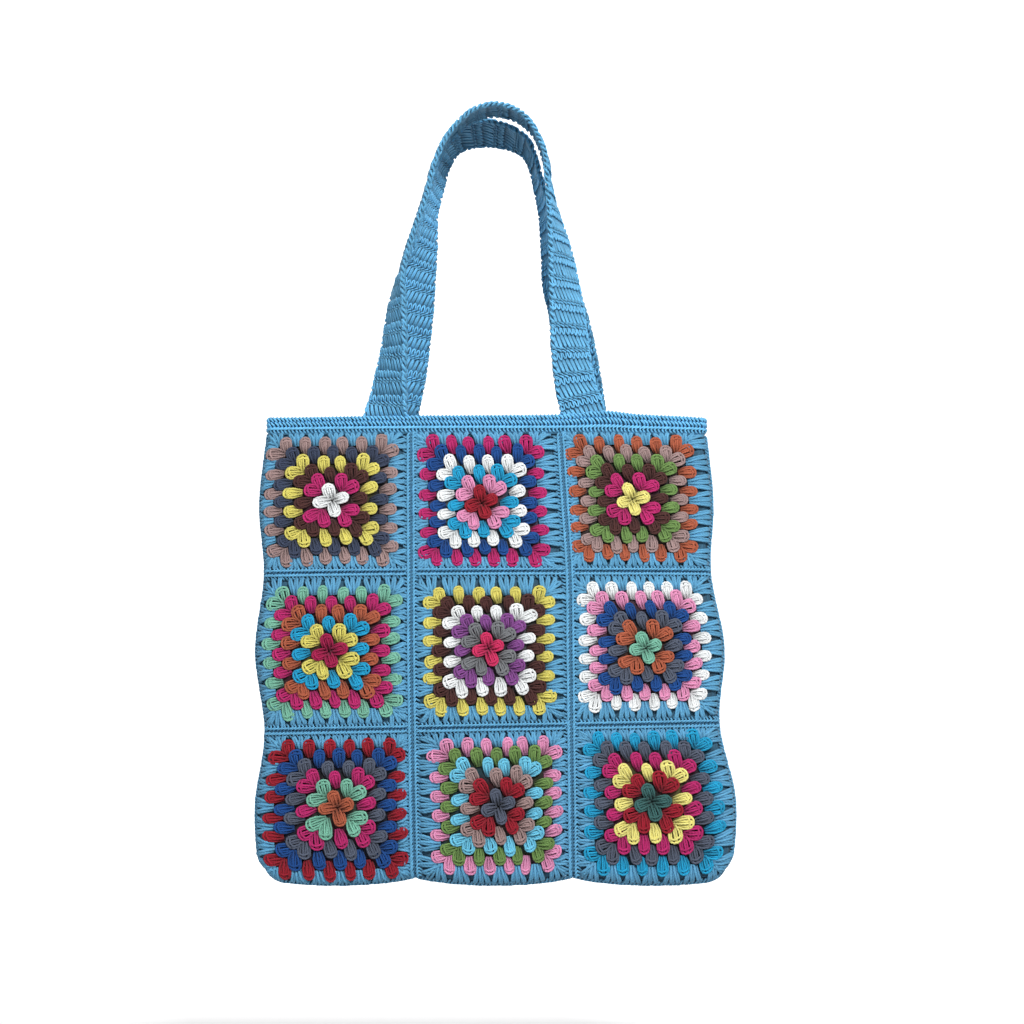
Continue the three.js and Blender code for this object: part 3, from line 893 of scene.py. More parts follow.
def linear(colour):
    """A display colour as the linear one that shaders use."""
    value = np.array(colour[:3], float)
    return np.where(value <= 0.04045, value / 12.92, ((value + 0.055) / 1.055) ** 2.4)


def lay_flat(base, heading, beside, away, raised):
    """Points of a flat fabric as right, down and raised: away along a heading from a base and
    beside it."""
    right = base[:, :1] + away * heading[:, :1] - beside * heading[:, 1:]
    down = base[:, 1:] + away * heading[:, 1:] + beside * heading[:, :1]
    return np.stack([right, down, np.broadcast_to(raised, right.shape)], axis=-1)


def hairpins(base, heading, inner, outer, length, shape, crown):
    """Paths of hairpin loops. The distance from the base is the sine of half a turn to a power,
    times the length. The two legs lie at minus and plus the cosine, one over the other at the
    base, and open to a drop-shaped eye near the tip. inner and outer are the loop's place beside
    the cluster's middle line at its base and where it is widest."""
    half_turn = np.linspace(0, np.pi, HAIRPIN_POINTS)
    share = np.sin(half_turn) ** LOOP_SHARPNESS
    leg = -np.cos(half_turn) * (shape["narrow"] + shape["eye"] * np.sin(half_turn) ** 2)
    twist = shape["twist"] * (1 - share) ** TWIST_SHARPNESS
    spread = (smooth(share / shape["widest"]) / smooth(1 / shape["widest"])) ** shape["late"]
    spread = spread * (1 - shape["taper"] * share**TAPER_SHARPNESS)
    beside = lerp(inner[:, None], outer[:, None], spread) + leg * np.cos(twist)
    raised = shape["base_raise"] * (1 - smooth(share / shape["rise"])) + shape["tip_raise"] * share**2
    raised = raised + crown * shape["crown"] * np.sin(np.pi * share**CROWN_SHARPNESS)
    raised = raised - shape["tuck"] * smooth((share - TUCK_START) / (1 - TUCK_START))
    return lay_flat(base, heading, beside, length[:, None] * share, raised + leg * np.sin(twist))


def caps(base, heading, length, half_width, shape):
    """Paths of the strand over a cluster's tip: an arc of an ellipse that dives at its ends, by
    the cube of the sine."""
    angle = np.linspace(-CAP_SPREAD, CAP_SPREAD, CAP_POINTS)
    beside = half_width[:, None] * np.sin(angle)
    away = length[:, None] - shape["cap_height"] * (1 - np.cos(angle)) - shape["cap_inset"]
    raised = shape["cap_raise"] - shape["cap_dive"] * np.abs(np.sin(angle)) ** 3
    return lay_flat(base, heading, beside, away, raised)


def wraps(base, heading, length, half_width, slant, shape):
    """Paths of the strand that crosses a cluster's posts below its tip: a slanting parabola that
    dives at its ends, by the fourth power."""
    share = np.linspace(-1, 1, WRAP_POINTS)
    beside = half_width[:, None] * share
    away = length[:, None] * shape["wrap_place"] - shape["wrap_bend"] * share**2
    raised = shape["wrap_raise"] - shape["wrap_dive"] * share**4
    return lay_flat(base, heading, beside, away + slant[:, None] * share, raised)


def turn_side(quarter, right, down):
    """The point turned by quarters clockwise, as seen from outside, from the top side."""
    for _ in range(quarter):
        right, down = -down, right
    return np.stack([right, down], axis=-1)


def side_places(count, base):
    """Base points of a round's clusters on its top side, before they are turned, and which of
    them are at corners: 1 for the first, -1 for the last and 0 for those between."""
    corner = np.zeros(count)
    if count > 1:
        corner[0], corner[-1] = 1, -1
    return (np.arange(count) - (count - 1) / 2) * CLUSTER_PITCH, np.full(count, -base), corner


def pattern_places(row, column):
    """Where the knots of the flat pattern lie across and down a square, from its centre."""
    return [[PATTERN_KNOTS[0], *span, PATTERN_KNOTS[-1]] for span in PATTERN_SPANS[row, column]]


def square_cloth(row, column, side, tints):
    """Grids of the cloth under a square and its colours: each ring of the square, by the larger
    of the distances right and down, has its round's colour, darkened as painted shade."""
    turned = np.array(CLOTH_TURN)
    shares = np.unique(np.concatenate([np.linspace(0, 1, CLOTH_STEPS), turned, 1 - turned]))
    across, down = np.meshgrid(column + shares, row + shares)
    flat = [(place - 0.5) * SQUARE_SIDE for place in (across - column, down - row)]
    reach = np.max([
        np.abs(np.interp(place, places, PATTERN_KNOTS))
        for place, places in zip(flat, pattern_places(row, column))
    ], axis=0)
    number = np.ceil((reach - FIRST_TIP + CLOTH_OVERLAP) / ROUND_STEP)
    number = np.clip(number, 0, ROUNDS).astype(int)
    outer = panel_point(across, down, side, CLOTH_OUTER)
    inner = panel_point(across, down, side, CLOTH_INNER)
    # The cloth's colours are painted shade: each round's colour darkened, the blue round's less
    shades = np.where(np.arange(ROUNDS + 1) < ROUNDS, CLOTH_SHADE, BLUE_CLOTH_SHADE)
    return outer, inner, (np.array(tints) * shades[:, None])[number]


def cluster_strands(number, quarter, random):
    """Flat paths and thickness of the strands of one side of a round: each cluster has three
    hairpin loops that spread from its base, a strand over their tips and one across them."""
    sizes = bpy.context.scene.tote_sizes
    count = number + 1
    usual = sizes.cluster_length * (FIRST_LENGTH if number == 0 else 1)
    beside, up, corner = side_places(count, FIRST_TIP + number * ROUND_STEP - usual)
    beside = beside + random.normal(0, CLUSTER_SCATTER["beside"], count)
    lean = sizes.lean * lerp(FIRST_LEAN, LAST_LEAN, number / (ROUNDS - 1)) + corner * CORNER_TURN
    lean = lean + random.normal(0, CLUSTER_SCATTER["lean"], count)
    growth = np.abs(corner)
    length = usual * random.normal(1 + CORNER_LENGTH * growth, CLUSTER_SCATTER["length"])
    width = sizes.cluster_width * random.normal(1 + CORNER_WIDTH * growth, CLUSTER_SCATTER["width"])
    base = turn_side(quarter, beside, up)
    heading = turn_side(quarter, -np.sin(lean), -np.cos(lean))
    for post in POSTS:
        outer = post * (width / 2 - POST_INSET) + random.normal(0, CLUSTER_SCATTER["post"], count)
        loop = length * (1 - SIDE_POST_SHORTER * abs(post))
        loop = loop * random.normal(1, CLUSTER_SCATTER["loop"], count) - LOOP_INSET
        inner = np.full(count, post * (FIRST_BASE_STEP if number == 0 else BASE_STEP))
        paths = hairpins(base, heading, inner, outer, loop, CLUSTER_LOOPS, 1 - abs(post))
        yield paths, THICKNESS["cluster"] * HAIRPIN_SWELL
    half_width = width / 2 - CAP_INSET
    yield caps(base, heading, length, half_width, CLUSTER_LOOPS), THICKNESS["cap"]
    slant = random.normal(WRAP_SLANT, CLUSTER_SCATTER["slant"], count)
    yield wraps(base, heading, length, half_width, slant, CLUSTER_LOOPS), THICKNESS["wrap"]


def fan_strands(end, quarter, random):
    """Flat paths and thickness of one side of the blue round: fans of three hairpin loops, which
    spread from between the clusters' tips to an end near the square's edge."""
    count = ROUNDS + 1
    beside, up, corner = side_places(count, FAN_BASE)
    beside = beside + random.normal(0, FAN_SCATTER["beside"], count)
    lean = FAN_LEAN + corner * FAN_CORNER_TURN + random.normal(0, FAN_SCATTER["lean"], count)
    length = (end - FAN_BASE) * (1 + FAN_CORNER_LENGTH * np.abs(corner))
    base = turn_side(quarter, beside, up)
    heading = turn_side(quarter, -np.sin(lean), -np.cos(lean))
    for post in POSTS:
        outer = post * (CLUSTER_PITCH / len(POSTS) + FAN_CORNER_SPREAD * np.abs(corner))
        outer = outer + random.normal(0, FAN_SCATTER["post"], count)
        inner = np.full(count, post * FAN_BASE_STEP)
        paths = hairpins(base, heading, inner, outer, length, FAN_LOOPS, 1)
        yield paths, THICKNESS["fan"] * HAIRPIN_SWELL


def fan_ends(row, column, mirror):
    """How far the fans of a square's top, right, bottom and left sides reach in the flat
    pattern, so that on the panel they end at the joins, the seam or the band."""
    left = SEAM_FAN_END if column == 0 else JOINED_FAN_END
    right = SEAM_FAN_END if column == SQUARES - 1 else JOINED_FAN_END
    above = BAND_FAN_END if row == 0 else JOINED_FAN_END
    below = SEAM_FAN_END if row == SQUARES - 1 else JOINED_FAN_END
    places_across, places_down = pattern_places(row, column)
    ends_across = np.abs(np.interp([-left, right], places_across, PATTERN_KNOTS))[::mirror]
    ends_down = np.abs(np.interp([-above, below], places_down, PATTERN_KNOTS))
    return ends_down[0], ends_across[1], ends_down[1], ends_across[0]


def square_yarn(row, column, side, rounds, seed):
    """Strands of one square over its cloth: six rounds of clusters and a seventh of fans."""
    scene = bpy.context.scene
    yarn = Yarn(seed)
    mirror = -side
    tints = [linear(getattr(scene.tote_colours, name)) for name in (*rounds, "blue")]
    yarn.add_cloth(*square_cloth(row, column, side, tints))
    places_across, places_down = pattern_places(row, column)

    def lay(strands, colour):
        """Puts flat paths on the panel, even between the pattern's tips, middle and edges. The
        paths are taken one by one, because each strand's tint is drawn when it is laid."""
        for paths, thickness in strands:
            right = np.interp(mirror * paths[..., 0], PATTERN_KNOTS, places_across) / SQUARE_SIDE
            below = np.interp(paths[..., 1], PATTERN_KNOTS, places_down) / SQUARE_SIDE
            raised = paths[..., 2]
            points, outwards = on_panel(column + 0.5 + right, row + 0.5 + below, side, raised)
            radii = scene.tote_sizes.yarn_radius * thickness
            # Yarn that lies deep is darker, painted shade, and proud yarn lighter, a painted highlight
            yarn.add(points, outwards, radii, colour, recess_shade(raised))

    for number in range(ROUNDS):
        for quarter in range(QUARTERS):
            lay(cluster_strands(number, quarter, yarn.random), tints[number])
    for quarter, end in enumerate(fan_ends(row, column, mirror)):
        lay(fan_strands(end, quarter, yarn.random), tints[ROUNDS])
    return yarn


def add_stitches(yarn, place, starts, stitch, kind, colour):
    """Short stitches, one at each start along a chain line. place puts a point that lies run
    along the line, away from its groove and raised on the fabric."""
    wobble = yarn.random.normal(0, STITCH_SCATTER["run"], (2, len(starts), 1))
    run = starts[:, None] + stitch["run"] + wobble[0]
    away = stitch["away"] + np.zeros_like(run)
    raised = stitch["raised"] + wobble[1] * STITCH_SCATTER["raise"]
    points, outwards = place(run, away, raised)
    radius = bpy.context.scene.tote_sizes.yarn_radius * THICKNESS[kind]
    # Yarn that lies deep is darker, painted shade, and proud yarn lighter, a painted highlight
    yarn.add(points, outwards, radius, colour, recess_shade(raised))


def joins_yarn(side, colour, seed):
    """Strands of a panel's joins. Along each join run two chain lines with a groove between
    them, and from each stitch of a line a leg goes down into the square beside it."""
    sizes = bpy.context.scene.tote_sizes
    yarn = Yarn(seed)
    mirror = -side
    length = SQUARES * SQUARE_SIDE
    starts = np.arange(sizes.stitch_pitch / 2, length, sizes.stitch_pitch)
    places = starts / SQUARE_SIDE
    crossing = np.abs(places - np.round(places)) * SQUARE_SIDE < EDGE_OFFSET
    inside = (starts > EDGE_OFFSET) & (starts < length - EDGE_OFFSET)
    clear = starts[~(crossing & inside)]
    for index in range(1, SQUARES):
        for beside in (-1, 1):

            def upright(run, away, raised):
                """Along one chain line of an upright join, and away from it to its own side."""
                down = np.clip((length / 2 - beside * (run - length / 2)) / SQUARE_SIDE, 0, SQUARES)
                shift = UPRIGHT_REACH * mirror * beside * away / SQUARE_SIDE
                return on_panel(index + shift, down, side, raised)

            def level(run, away, raised):
                """Along one chain line of a level join, and away from it to its own side."""
                across = SQUARES / 2 + mirror * beside * (length / 2 - run) / SQUARE_SIDE
                shift = LEVEL_REACH * beside * away / SQUARE_SIDE
                return on_panel(np.clip(across, 0, SQUARES), index + shift, side, raised)

            add_stitches(yarn, upright, starts, CHAIN_STITCH, "join", colour)
            add_stitches(yarn, level, clear, CHAIN_STITCH, "join", colour)
        core = np.linspace(0, length, CORE_POINTS)[None, :]
        for place in (upright, level):
            points, outwards = place(core, np.zeros_like(core), np.full_like(core, CORE_RAISE))
            # The core is darkened: painted shade in the groove
            yarn.add(points, outwards, CORE_RADIUS, colour, CORE_SHADE)
    return yarn


def seam_yarn(colour, seed):
    """Strands of the seam down both sides and along the base, two chain lines like a join's."""
    sizes = bpy.context.scene.tote_sizes
    yarn = Yarn(seed)
    length = 3 * SQUARES * SQUARE_SIDE
    edge = SQUARES * SQUARE_SIDE
    starts = np.arange(sizes.stitch_pitch / 2, length, sizes.stitch_pitch)

    def along_edge(run, inward, side, raised):
        """Down the left side, along the base and up the right side, inward on the panel."""
        down = np.clip(np.minimum(run, length - run) / SQUARE_SIDE, 0, SQUARES - inward)
        across = np.clip((run - edge) / SQUARE_SIDE, inward, SQUARES - inward)
        return on_panel(across, down, side, raised)

    for side in SIDES.values():

        def place(run, away, raised):
            """Along the seam's line on one panel, and away from the bag's middle plane."""
            run = length / 2 + side * (run - length / 2)
            inward = np.maximum(away - EDGE_OFFSET, 0) / SQUARE_SIDE
            points, outwards = along_edge(run, inward, side, raised)
            points[..., 1] = np.where(away < EDGE_OFFSET, side * away, points[..., 1])
            return points, outwards

        add_stitches(yarn, place, starts, CHAIN_STITCH, "join", colour)

    run, y = long_grid(length, -EDGE_OFFSET, EDGE_OFFSET, SEAM_GRID)
    heights = CLOTH_OUTER + SEAM_CLOTH_RAISE, CLOTH_INNER
    grids = [along_edge(run, 0, SIDES["back"], raised)[0] for raised in heights]
    for grid in grids:
        grid[..., 1] = y
    # The seam's cloth is the blue darkened as painted shade
    yarn.add_cloth(*grids, np.broadcast_to(colour * BLUE_CLOTH_SHADE, grids[0].shape))
    return yarn


def mouth_ring():
    """The band's outer face round the mouth: distance round, place and direction outwards, from
    the left end along the front to the right and back along the back."""
    turn_points, middle_points = MOUTH_POINTS
    turn = np.linspace(0, MOUTH_TURN, turn_points)
    middle = np.linspace(MOUTH_TURN, SQUARES - MOUTH_TURN, middle_points)
    across = np.concatenate([turn, middle, SQUARES - turn[::-1]])
    front, front_out = on_panel(across, 0, SIDES["front"], BAND_SPARE)
    back, back_out = on_panel(across[::-1], 0, SIDES["back"], BAND_SPARE)
    points = np.concatenate([front, back, front[:1]])[:, :2]
    outwards = np.concatenate([front_out, back_out, front_out[:1]])
    steps = np.linalg.norm(np.diff(points, axis=0), axis=-1)
    apart = np.concatenate([[True], steps > NEAR])
    points, outwards = points[apart], outwards[apart]
    steps = np.linalg.norm(np.diff(points, axis=0), axis=-1)
    return np.concatenate([[0], np.cumsum(steps)]), points, outwards


def band_yarn(colour, seed):
    """Strands of the band: three rows of short stitches round the mouth, one below another, and
    a row of small loops that lie over its upper edge."""
    sizes = bpy.context.scene.tote_sizes
    yarn = Yarn(seed)
    distance, ring, ring_out = mouth_ring()
    whole = distance[-1]
    count = int(whole / sizes.band_pitch)
    pitch = whole / count

    def place(run, height, raised):
        """Round the mouth, above the band's lower edge and raised. Heights grow by the lift of
        the upper edge."""
        run = np.mod(run, whole)
        flat = [np.interp(run, distance, ring[:, i]) for i in range(2)]
        out = unit(np.stack([np.interp(run, distance, ring_out[:, i]) for i in range(3)], axis=-1))
        growth = 1 + along(RIM_ROWS, "across", flat[0] / BODY_WIDTH, "lift")
        z = np.where(height > 0, height * growth, height) - HANDLE_DROP - BAND_HEIGHT
        return np.stack([*flat, z], axis=-1) + out * np.asarray(raised)[..., None], out

    for row, top in enumerate(BAND_ROWS):
        starts = (np.arange(count) + 0.5 * (row % 2)) * pitch
        lowest = row == len(BAND_ROWS) - 1

        def beneath(run, away, raised):
            """Down from the row's own height. The lowest row runs the other way round."""
            return place(-run if lowest else run, top - away * BAND_REACH, raised - BAND_SINK)

        stitch = CHAIN_STITCH if lowest else BAND_STITCH
        add_stitches(yarn, beneath, starts, stitch, "band", colour)

    half_turn = np.linspace(0, np.pi, ARCH_POINTS)
    bow = np.sin(half_turn)
    run = (np.arange(count) * pitch)[:, None] + sizes.band_pitch * RIM_LOOP["run"] * bow
    lying = RIM_LOOP["half_width"] * np.cos(half_turn) * (1 - RIM_LOOP["narrowing"] * bow)
    height = BAND_HEIGHT - RIM_LOOP["drop"] + RIM_LOOP["bulge"] * bow + np.zeros_like(run)
    points, _ = place(run, height, lying - BAND_WALL / 2 + np.zeros_like(run))
    upright = np.broadcast_to([0.0, 0.0, 1.0], points.shape)
    yarn.add(points, upright, sizes.yarn_radius * THICKNESS["rim"], colour)

    run, height = long_grid(whole - NEAR, BAND_CLOTH["low"], BAND_CLOTH["high"], BAND_GRID)
    faces = [np.full(run.shape, BAND_CLOTH[face]) for face in ("outer", "inner")]
    outer, inner = (place(run, height, raised)[0] for raised in faces)
    # The band's cloth is the blue darkened as painted shade
    yarn.add_cloth(outer, inner, np.broadcast_to(colour * BAND_CLOTH_SHADE, outer.shape))
    return yarn


def band_out(x):
    """The band's outer face at a place across, from the bag's middle plane."""
    across = np.linspace(0, SQUARES, RIM_POINTS)
    share = np.interp(x, place_across(across, np.zeros_like(across)), across)
    return EDGE_OFFSET + ROLL_RADIUS + half_depth(np.array(0.0)) * fullness(share) + BAND_SPARE


def strap_frame(rows, side, count):
    """Centre line of a strap at count even distances, with its directions across and outwards.
    The line is a cubic through the stations, and the strap turns about it."""
    x = rows["across"] * STRAP_SPREAD
    arch = (STRAP_GAP + STRAP_WIDTH * math.sin(ARCH_TURN)) / 2
    foot = np.where(x < 0, band_out(x[0]), band_out(x[-1])) - BAND_WALL / 2
    y = side * lerp(foot, arch, smooth((1 + rows["up"]) / DRAW_IN_SHARE))
    stations = {"x": x, "y": y, "z": rows["up"] * HANDLE_DROP, "turn": np.radians(rows["turn"])}
    line = np.stack([stations[axis] for axis in "xyz"], axis=-1)
    steps = np.linalg.norm(np.diff(line, axis=0), axis=-1)
    stations["length"] = np.concatenate([[0], np.cumsum(steps)])
    total = stations["length"][-1]
    length = np.linspace(0, total, count)
    centre = np.stack([along(stations, "length", length, axis) for axis in "xyz"], axis=-1)
    run = unit(np.gradient(centre, axis=0))
    turn = along(stations, "length", length, "turn")
    flat = unit(np.stack([run[:, 2], np.zeros(count), -run[:, 0]], axis=-1)) * np.cos(turn)[:, None]
    flat[:, 1] = side * np.sin(turn)
    across = unit(flat - run * np.sum(flat * run, axis=-1, keepdims=True))
    outwards = np.cross(run, across) * side
    return total, length, centre, across, outwards


def tall_posts(start, beside, row_length, face, random):
    """Hairpin posts, each a little taller than a row, as places along and beside the strap and
    heights. A post rises by the sine of half a turn to a power, leaning to one side."""
    half_turn = np.linspace(0, np.pi, HAIRPIN_POINTS)
    wobble = random.normal(0, POST["scatter"], (3, len(start), 1))
    share = np.sin(half_turn) ** POST["sharpness"]
    leg = -np.cos(half_turn) * (POST["narrow"] + POST["eye"] * np.sin(half_turn) ** 2)
    run = start - POST["foot"] + (row_length * POST["reach"] + wobble[0]) * share
    lean = -face * (POST["lean"] + wobble[1])
    place = beside * POST["spread"] + leg + lean * (share - 0.5)
    return run, place, (POST["raise"] + wobble[2] / 2) * share


def slants_and_arches(start, beside, face, random):
    """Two slanting strands for each post, bent up by a parabola, and an arch above them that
    rises by the sine of half a turn to a power, as places along and beside and heights."""
    line = np.linspace(-1, 1, SLANT_POINTS)
    wobble = random.normal(0, SLANT["scatter"], (3, len(start), 1))
    for foot in SLANT["places"]:
        run = start + foot + SLANT["run"] * line + wobble[0]
        yield run, beside - face * SLANT["beside"] * line, SLANT["raise"] - SLANT["dive"] * line**2
    half_turn = np.linspace(0, np.pi, ARCH_POINTS)
    bow = np.sin(half_turn)
    run = start + ARCH["foot"] + (ARCH["reach"] + wobble[1]) * bow ** ARCH["sharpness"]
    arch = beside - np.cos(half_turn) * ARCH["half_width"] - face * ARCH["lean"] * bow
    yield run, arch, ARCH["raise"] + ARCH["crown"] * bow + wobble[2] / 2


def strap_yarn(rows, side, colour, seed):
    """Strands of a strap. Each row has tall leaning posts on one face, and on the other two
    lines of slanting strands with a line of arches above them; the faces change places with
    each row. Slanting strands wind round both edges like a rope."""
    radius = bpy.context.scene.tote_sizes.yarn_radius
    yarn = Yarn(seed)
    total, lengths, centre, across, outwards = strap_frame(rows, side, STRAP_POINTS)
    row_count = round(total / STRAP_ROW)
    row_length = total / row_count
    pitch = (STRAP_WIDTH - 2 * STRAP_EDGE) / STRAP_POSTS
    posts = (np.arange(STRAP_POSTS) - (STRAP_POSTS - 1) / 2) * pitch

    def place(run, beside, raised):
        """Along the strap, beside its middle line and raised out of its cupped face."""
        run = np.clip(run, 0, total)
        middle, wide, out = (
            np.stack([np.interp(run, lengths, array[:, i]) for i in range(3)], axis=-1)
            for array in (centre, across, outwards)
        )
        cup = STRAP_CUP * smooth(np.minimum(run, total - run) / STRAP_WIDTH)
        bend = -cup * (2 * beside / STRAP_WIDTH) ** 2
        return middle + unit(wide) * beside[..., None] + unit(out) * (raised + bend)[..., None], out

    def row_posts(first):
        """Where the posts of every second row start and lie beside the middle line."""
        starts = np.arange(first, row_count, 2) * row_length
        return np.repeat(starts, STRAP_POSTS)[:, None], np.tile(posts, len(starts))[:, None]

    def lay(run, beside, raised, face, kind):
        """Puts strands on a face, with painted shade: each row is darker at its foot, yarn that lies
        deep is darker, and the inside of the arch, where the face looks down, has a painted shadow."""
        run, beside, raised = np.broadcast_arrays(run, beside, raised)
        points, out = place(run, beside, raised * face)
        up_the_row = smooth(np.mod(run, row_length) / (row_length / 2))
        arch_shadow = smooth(1 + points[..., 2] / ARCH_REACH) * (out[..., 2] * face < LOOKS_UP)
        shade = recess_shade(raised - STRAP_RECESS) * lerp(*ROW_SHADES, up_the_row)
        shade = shade * lerp(1, ARCH_SHADE, arch_shadow)
        yarn.add(points, out * face, radius * THICKNESS[kind], colour, shade)

    for face in (-1, 1):
        first = 0 if face > 0 else 1
        lay(*tall_posts(*row_posts(first), row_length, face, yarn.random), face, "post")
        for strands in slants_and_arches(*row_posts(1 - first), face, yarn.random):
            lay(*strands, face, "slant")

    line = np.linspace(-1, 1, SLANT_POINTS)
    around = ROPE["turn"] * line
    start = (np.arange(2 * row_count) + 0.5)[:, None] * row_length / 2
    for edge in (-1, 1):
        run = start + ROPE["run"] * line * edge
        beside = edge * (STRAP_WIDTH / 2 - ROPE["inset"] + ROPE["out"] * np.cos(around))
        raised = ROPE["raise"] * np.sin(around) + np.zeros_like(run)
        points, out = place(run, beside + np.zeros_like(run), raised)
        # The rope drawn a little lighter: a painted highlight
        yarn.add(points, out, radius * THICKNESS["rope"], colour, ROPE["shade"])

    half = STRAP_WIDTH / 2 - STRAP_CLOTH_INSET
    run, beside = long_grid(total, -half, half, STRAP_GRID)
    faces = [np.full(run.shape, raised) for raised in (STRAP_CLOTH_HALF, -STRAP_CLOTH_HALF)]
    outer, inner = (place(run, beside, raised)[0] for raised in faces)
    # The strap's cloth is the blue darkened as painted shade
    yarn.add_cloth(outer, inner, np.broadcast_to(colour * BLUE_CLOTH_SHADE, outer.shape))
    return yarn


class Shader:
    """Nodes of one material."""

    def __init__(self, name):
        self.material = bpy.data.materials.new(name)
        self.material.use_nodes = True
        self.tree = self.material.node_tree
        self.tree.nodes.clear()

    def node(self, kind, settings=None, **inputs):
        """A node of a kind. Its settings are set first, then its sockets, which are named with
        underscores for spaces, by value or link."""
        made = self.tree.nodes.new(kind)
        for name, value in (settings or {}).items():
            setattr(made, name, value)
        for name, value in inputs.items():
            self.put(made.inputs[name.replace("_", " ")], value)
        return made

    def put(self, socket, value):
        """Sets a socket, or links it to a signal."""
        if isinstance(value, Signal):
            self.tree.links.new(value.socket, socket)
        else:
            socket.default_value = value

    def signal(self, made, output=0):
        """An output of a node as a signal."""
        return Signal(self, made.outputs[output])

    def mix(self, factor, first, second, blend="MIX"):
        """Two colours mixed."""
        made = self.tree.nodes.new("ShaderNodeMix")
        made.data_type = "RGBA"
        made.blend_type = blend
        self.put(made.inputs[0], factor)
        self.put(made.inputs[6], first)
        self.put(made.inputs[7], second)
        return Signal(self, made.outputs[2])

    def finish(self, **inputs):
        """Ends the material with one surface of these inputs."""
        surface = self.node("ShaderNodeBsdfPrincipled", **inputs)
        output = self.node("ShaderNodeOutputMaterial")
        self.tree.links.new(surface.outputs[0], output.inputs[0])


class Signal:
    """A number that nodes work out, so that maths on it is written as a Python expression."""

    def __init__(self, shader, socket):
        self.shader = shader
        self.socket = socket

    def maths(self, operation, *values):
        """A Math node of an operation on values or signals."""
        made = self.shader.tree.nodes.new("ShaderNodeMath")
        made.operation = operation
        for socket, value in zip(made.inputs, values):
            self.shader.put(socket, value)
        return Signal(self.shader, made.outputs[0])

    def __add__(self, other):
        """The sum of this number and another."""
        return self.maths("ADD", self, other)

    def __sub__(self, other):
        """This number less another."""
        return self.maths("SUBTRACT", self, other)

    def __mul__(self, other):
        """The product of this number and another."""
        return self.maths("MULTIPLY", self, other)

    def sine(self):
        """The sine of this number."""
        return self.maths("SINE", self)


def yarn_material(name, roughness, painted_crest_light):
    """Plied cotton: the strand's own colour, with painted shade between the plies and down its flanks
    and a painted highlight along its crest, with ridges that wind round the strand and fine fibres
    over them."""
    sizes = bpy.context.scene.tote_sizes
    shader = Shader(name)
    strand = shader.signal(shader.node("ShaderNodeUVMap", {"uv_map": "strand"}))
    parts = shader.node("ShaderNodeSeparateXYZ", Vector=strand)
    around, run = shader.signal(parts, "X"), shader.signal(parts, "Y")
    winding = (around * PLIES + run * (1 / sizes.ply_pitch)) * (2 * math.pi)
    ply = winding.sine() * 0.5 + 0.5
    # A strand's crest lighter than its flanks: painted light and shade round each strand
    crest = ((around + 1 / (2 * STRAND_SIDES)) * (2 * math.pi)).sine() * 0.5 + 0.5
    place = shader.signal(shader.node("ShaderNodeTexCoord"), "Object")
    fibres = shader.node("ShaderNodeTexNoise", Vector=place, Scale=2600.0, Detail=2.0, Roughness=0.6)
    fibres = shader.signal(fibres)
    wear = shader.signal(shader.node("ShaderNodeTexNoise", Vector=place, Scale=60.0, Detail=2.0))
    # Darker grooves between the plies are painted shade; fibres and wear vary the tone at random
    shade = ply * PLY_SHADE + fibres * FIBRE_SHADE + wear * WEAR_SHADE
    shade = shade + crest * painted_crest_light + (BASE_SHADE - painted_crest_light / 2)
    grey = shader.node("ShaderNodeCombineXYZ", X=shade, Y=shade, Z=shade)
    colour = shader.signal(shader.node("ShaderNodeAttribute", {"attribute_name": "yarn_colour"}))
    colour = shader.mix(1.0, colour, shader.signal(grey), "MULTIPLY")
    relief = ply * PLY_RELIEF + fibres * FIBRE_RELIEF
    bump = shader.node("ShaderNodeBump", Height=relief, Strength=0.6, Distance=RELIEF)
    shader.finish(
        Base_Color=colour,
        Roughness=roughness,
        Normal=shader.signal(bump),
        Sheen_Weight=0.15,
        Sheen_Roughness=0.5,
        Specular_IOR_Level=0.4,
    )
    return shader.material


def backdrop_material(name):
    """A plain matt surface whose wall gives light of its own, from the bend at its back on."""
    shader = Shader(name)
    place = shader.signal(shader.node("ShaderNodeTexCoord"), "Object")
    parts = shader.node("ShaderNodeSeparateXYZ", Vector=place)
    behind = (shader.signal(parts, "Y") - GLOW_START) * GLOW_RISE
    lit = shader.mix(behind, (0.0, 0.0, 0.0, 1.0), (1.0, 1.0, 1.0, 1.0))
    shader.finish(
        Base_Color=(BACKDROP_GREY, BACKDROP_GREY, BACKDROP_GREY, 1),
        Roughness=0.95,
        Emission_Color=lit,
        Emission_Strength=GLOW,
    )
    return shader.material


def length_property(name, description, default):
    """A property for a length in metres."""
    return FloatProperty(
        name=name,
        description=description,
        default=default,
        unit="LENGTH",
        precision=5,
    )


class ToteSizes(bpy.types.PropertyGroup):
    """Sizes of the yarn and stitches."""

    yarn_radius: length_property("Yarn radius", "Half of a strand's thickness", 0.9 * MM)
    cluster_length: length_property("Cluster length", "Length of a cluster of posts", 15 * MM)
    cluster_width: length_property("Cluster width", "Width of a cluster at its fullest", 10.8 * MM)
    lean: FloatProperty(
        name="Lean",
        description="How far the clusters lean",
        default=math.radians(11),
        subtype="ANGLE",
    )
    stitch_pitch: length_property("Stitch pitch", "Distance between join stitches", STITCH_PITCH)
    band_pitch: length_property("Band pitch", "Distance between the band's stitches", BAND_PITCH)
    ply_pitch: length_property("Ply pitch", "Length of one turn of the plies", 2.6 * MM)


def colour_property(name, red, green, blue):
    """A property for a yarn's colour, from display values of 0 to 255."""
    return FloatVectorProperty(
        name=name,
        description=f"Colour of the {name.lower()} yarn",
        default=(red / 255, green / 255, blue / 255),
        subtype="COLOR_GAMMA",
        min=0,
        max=1,
    )


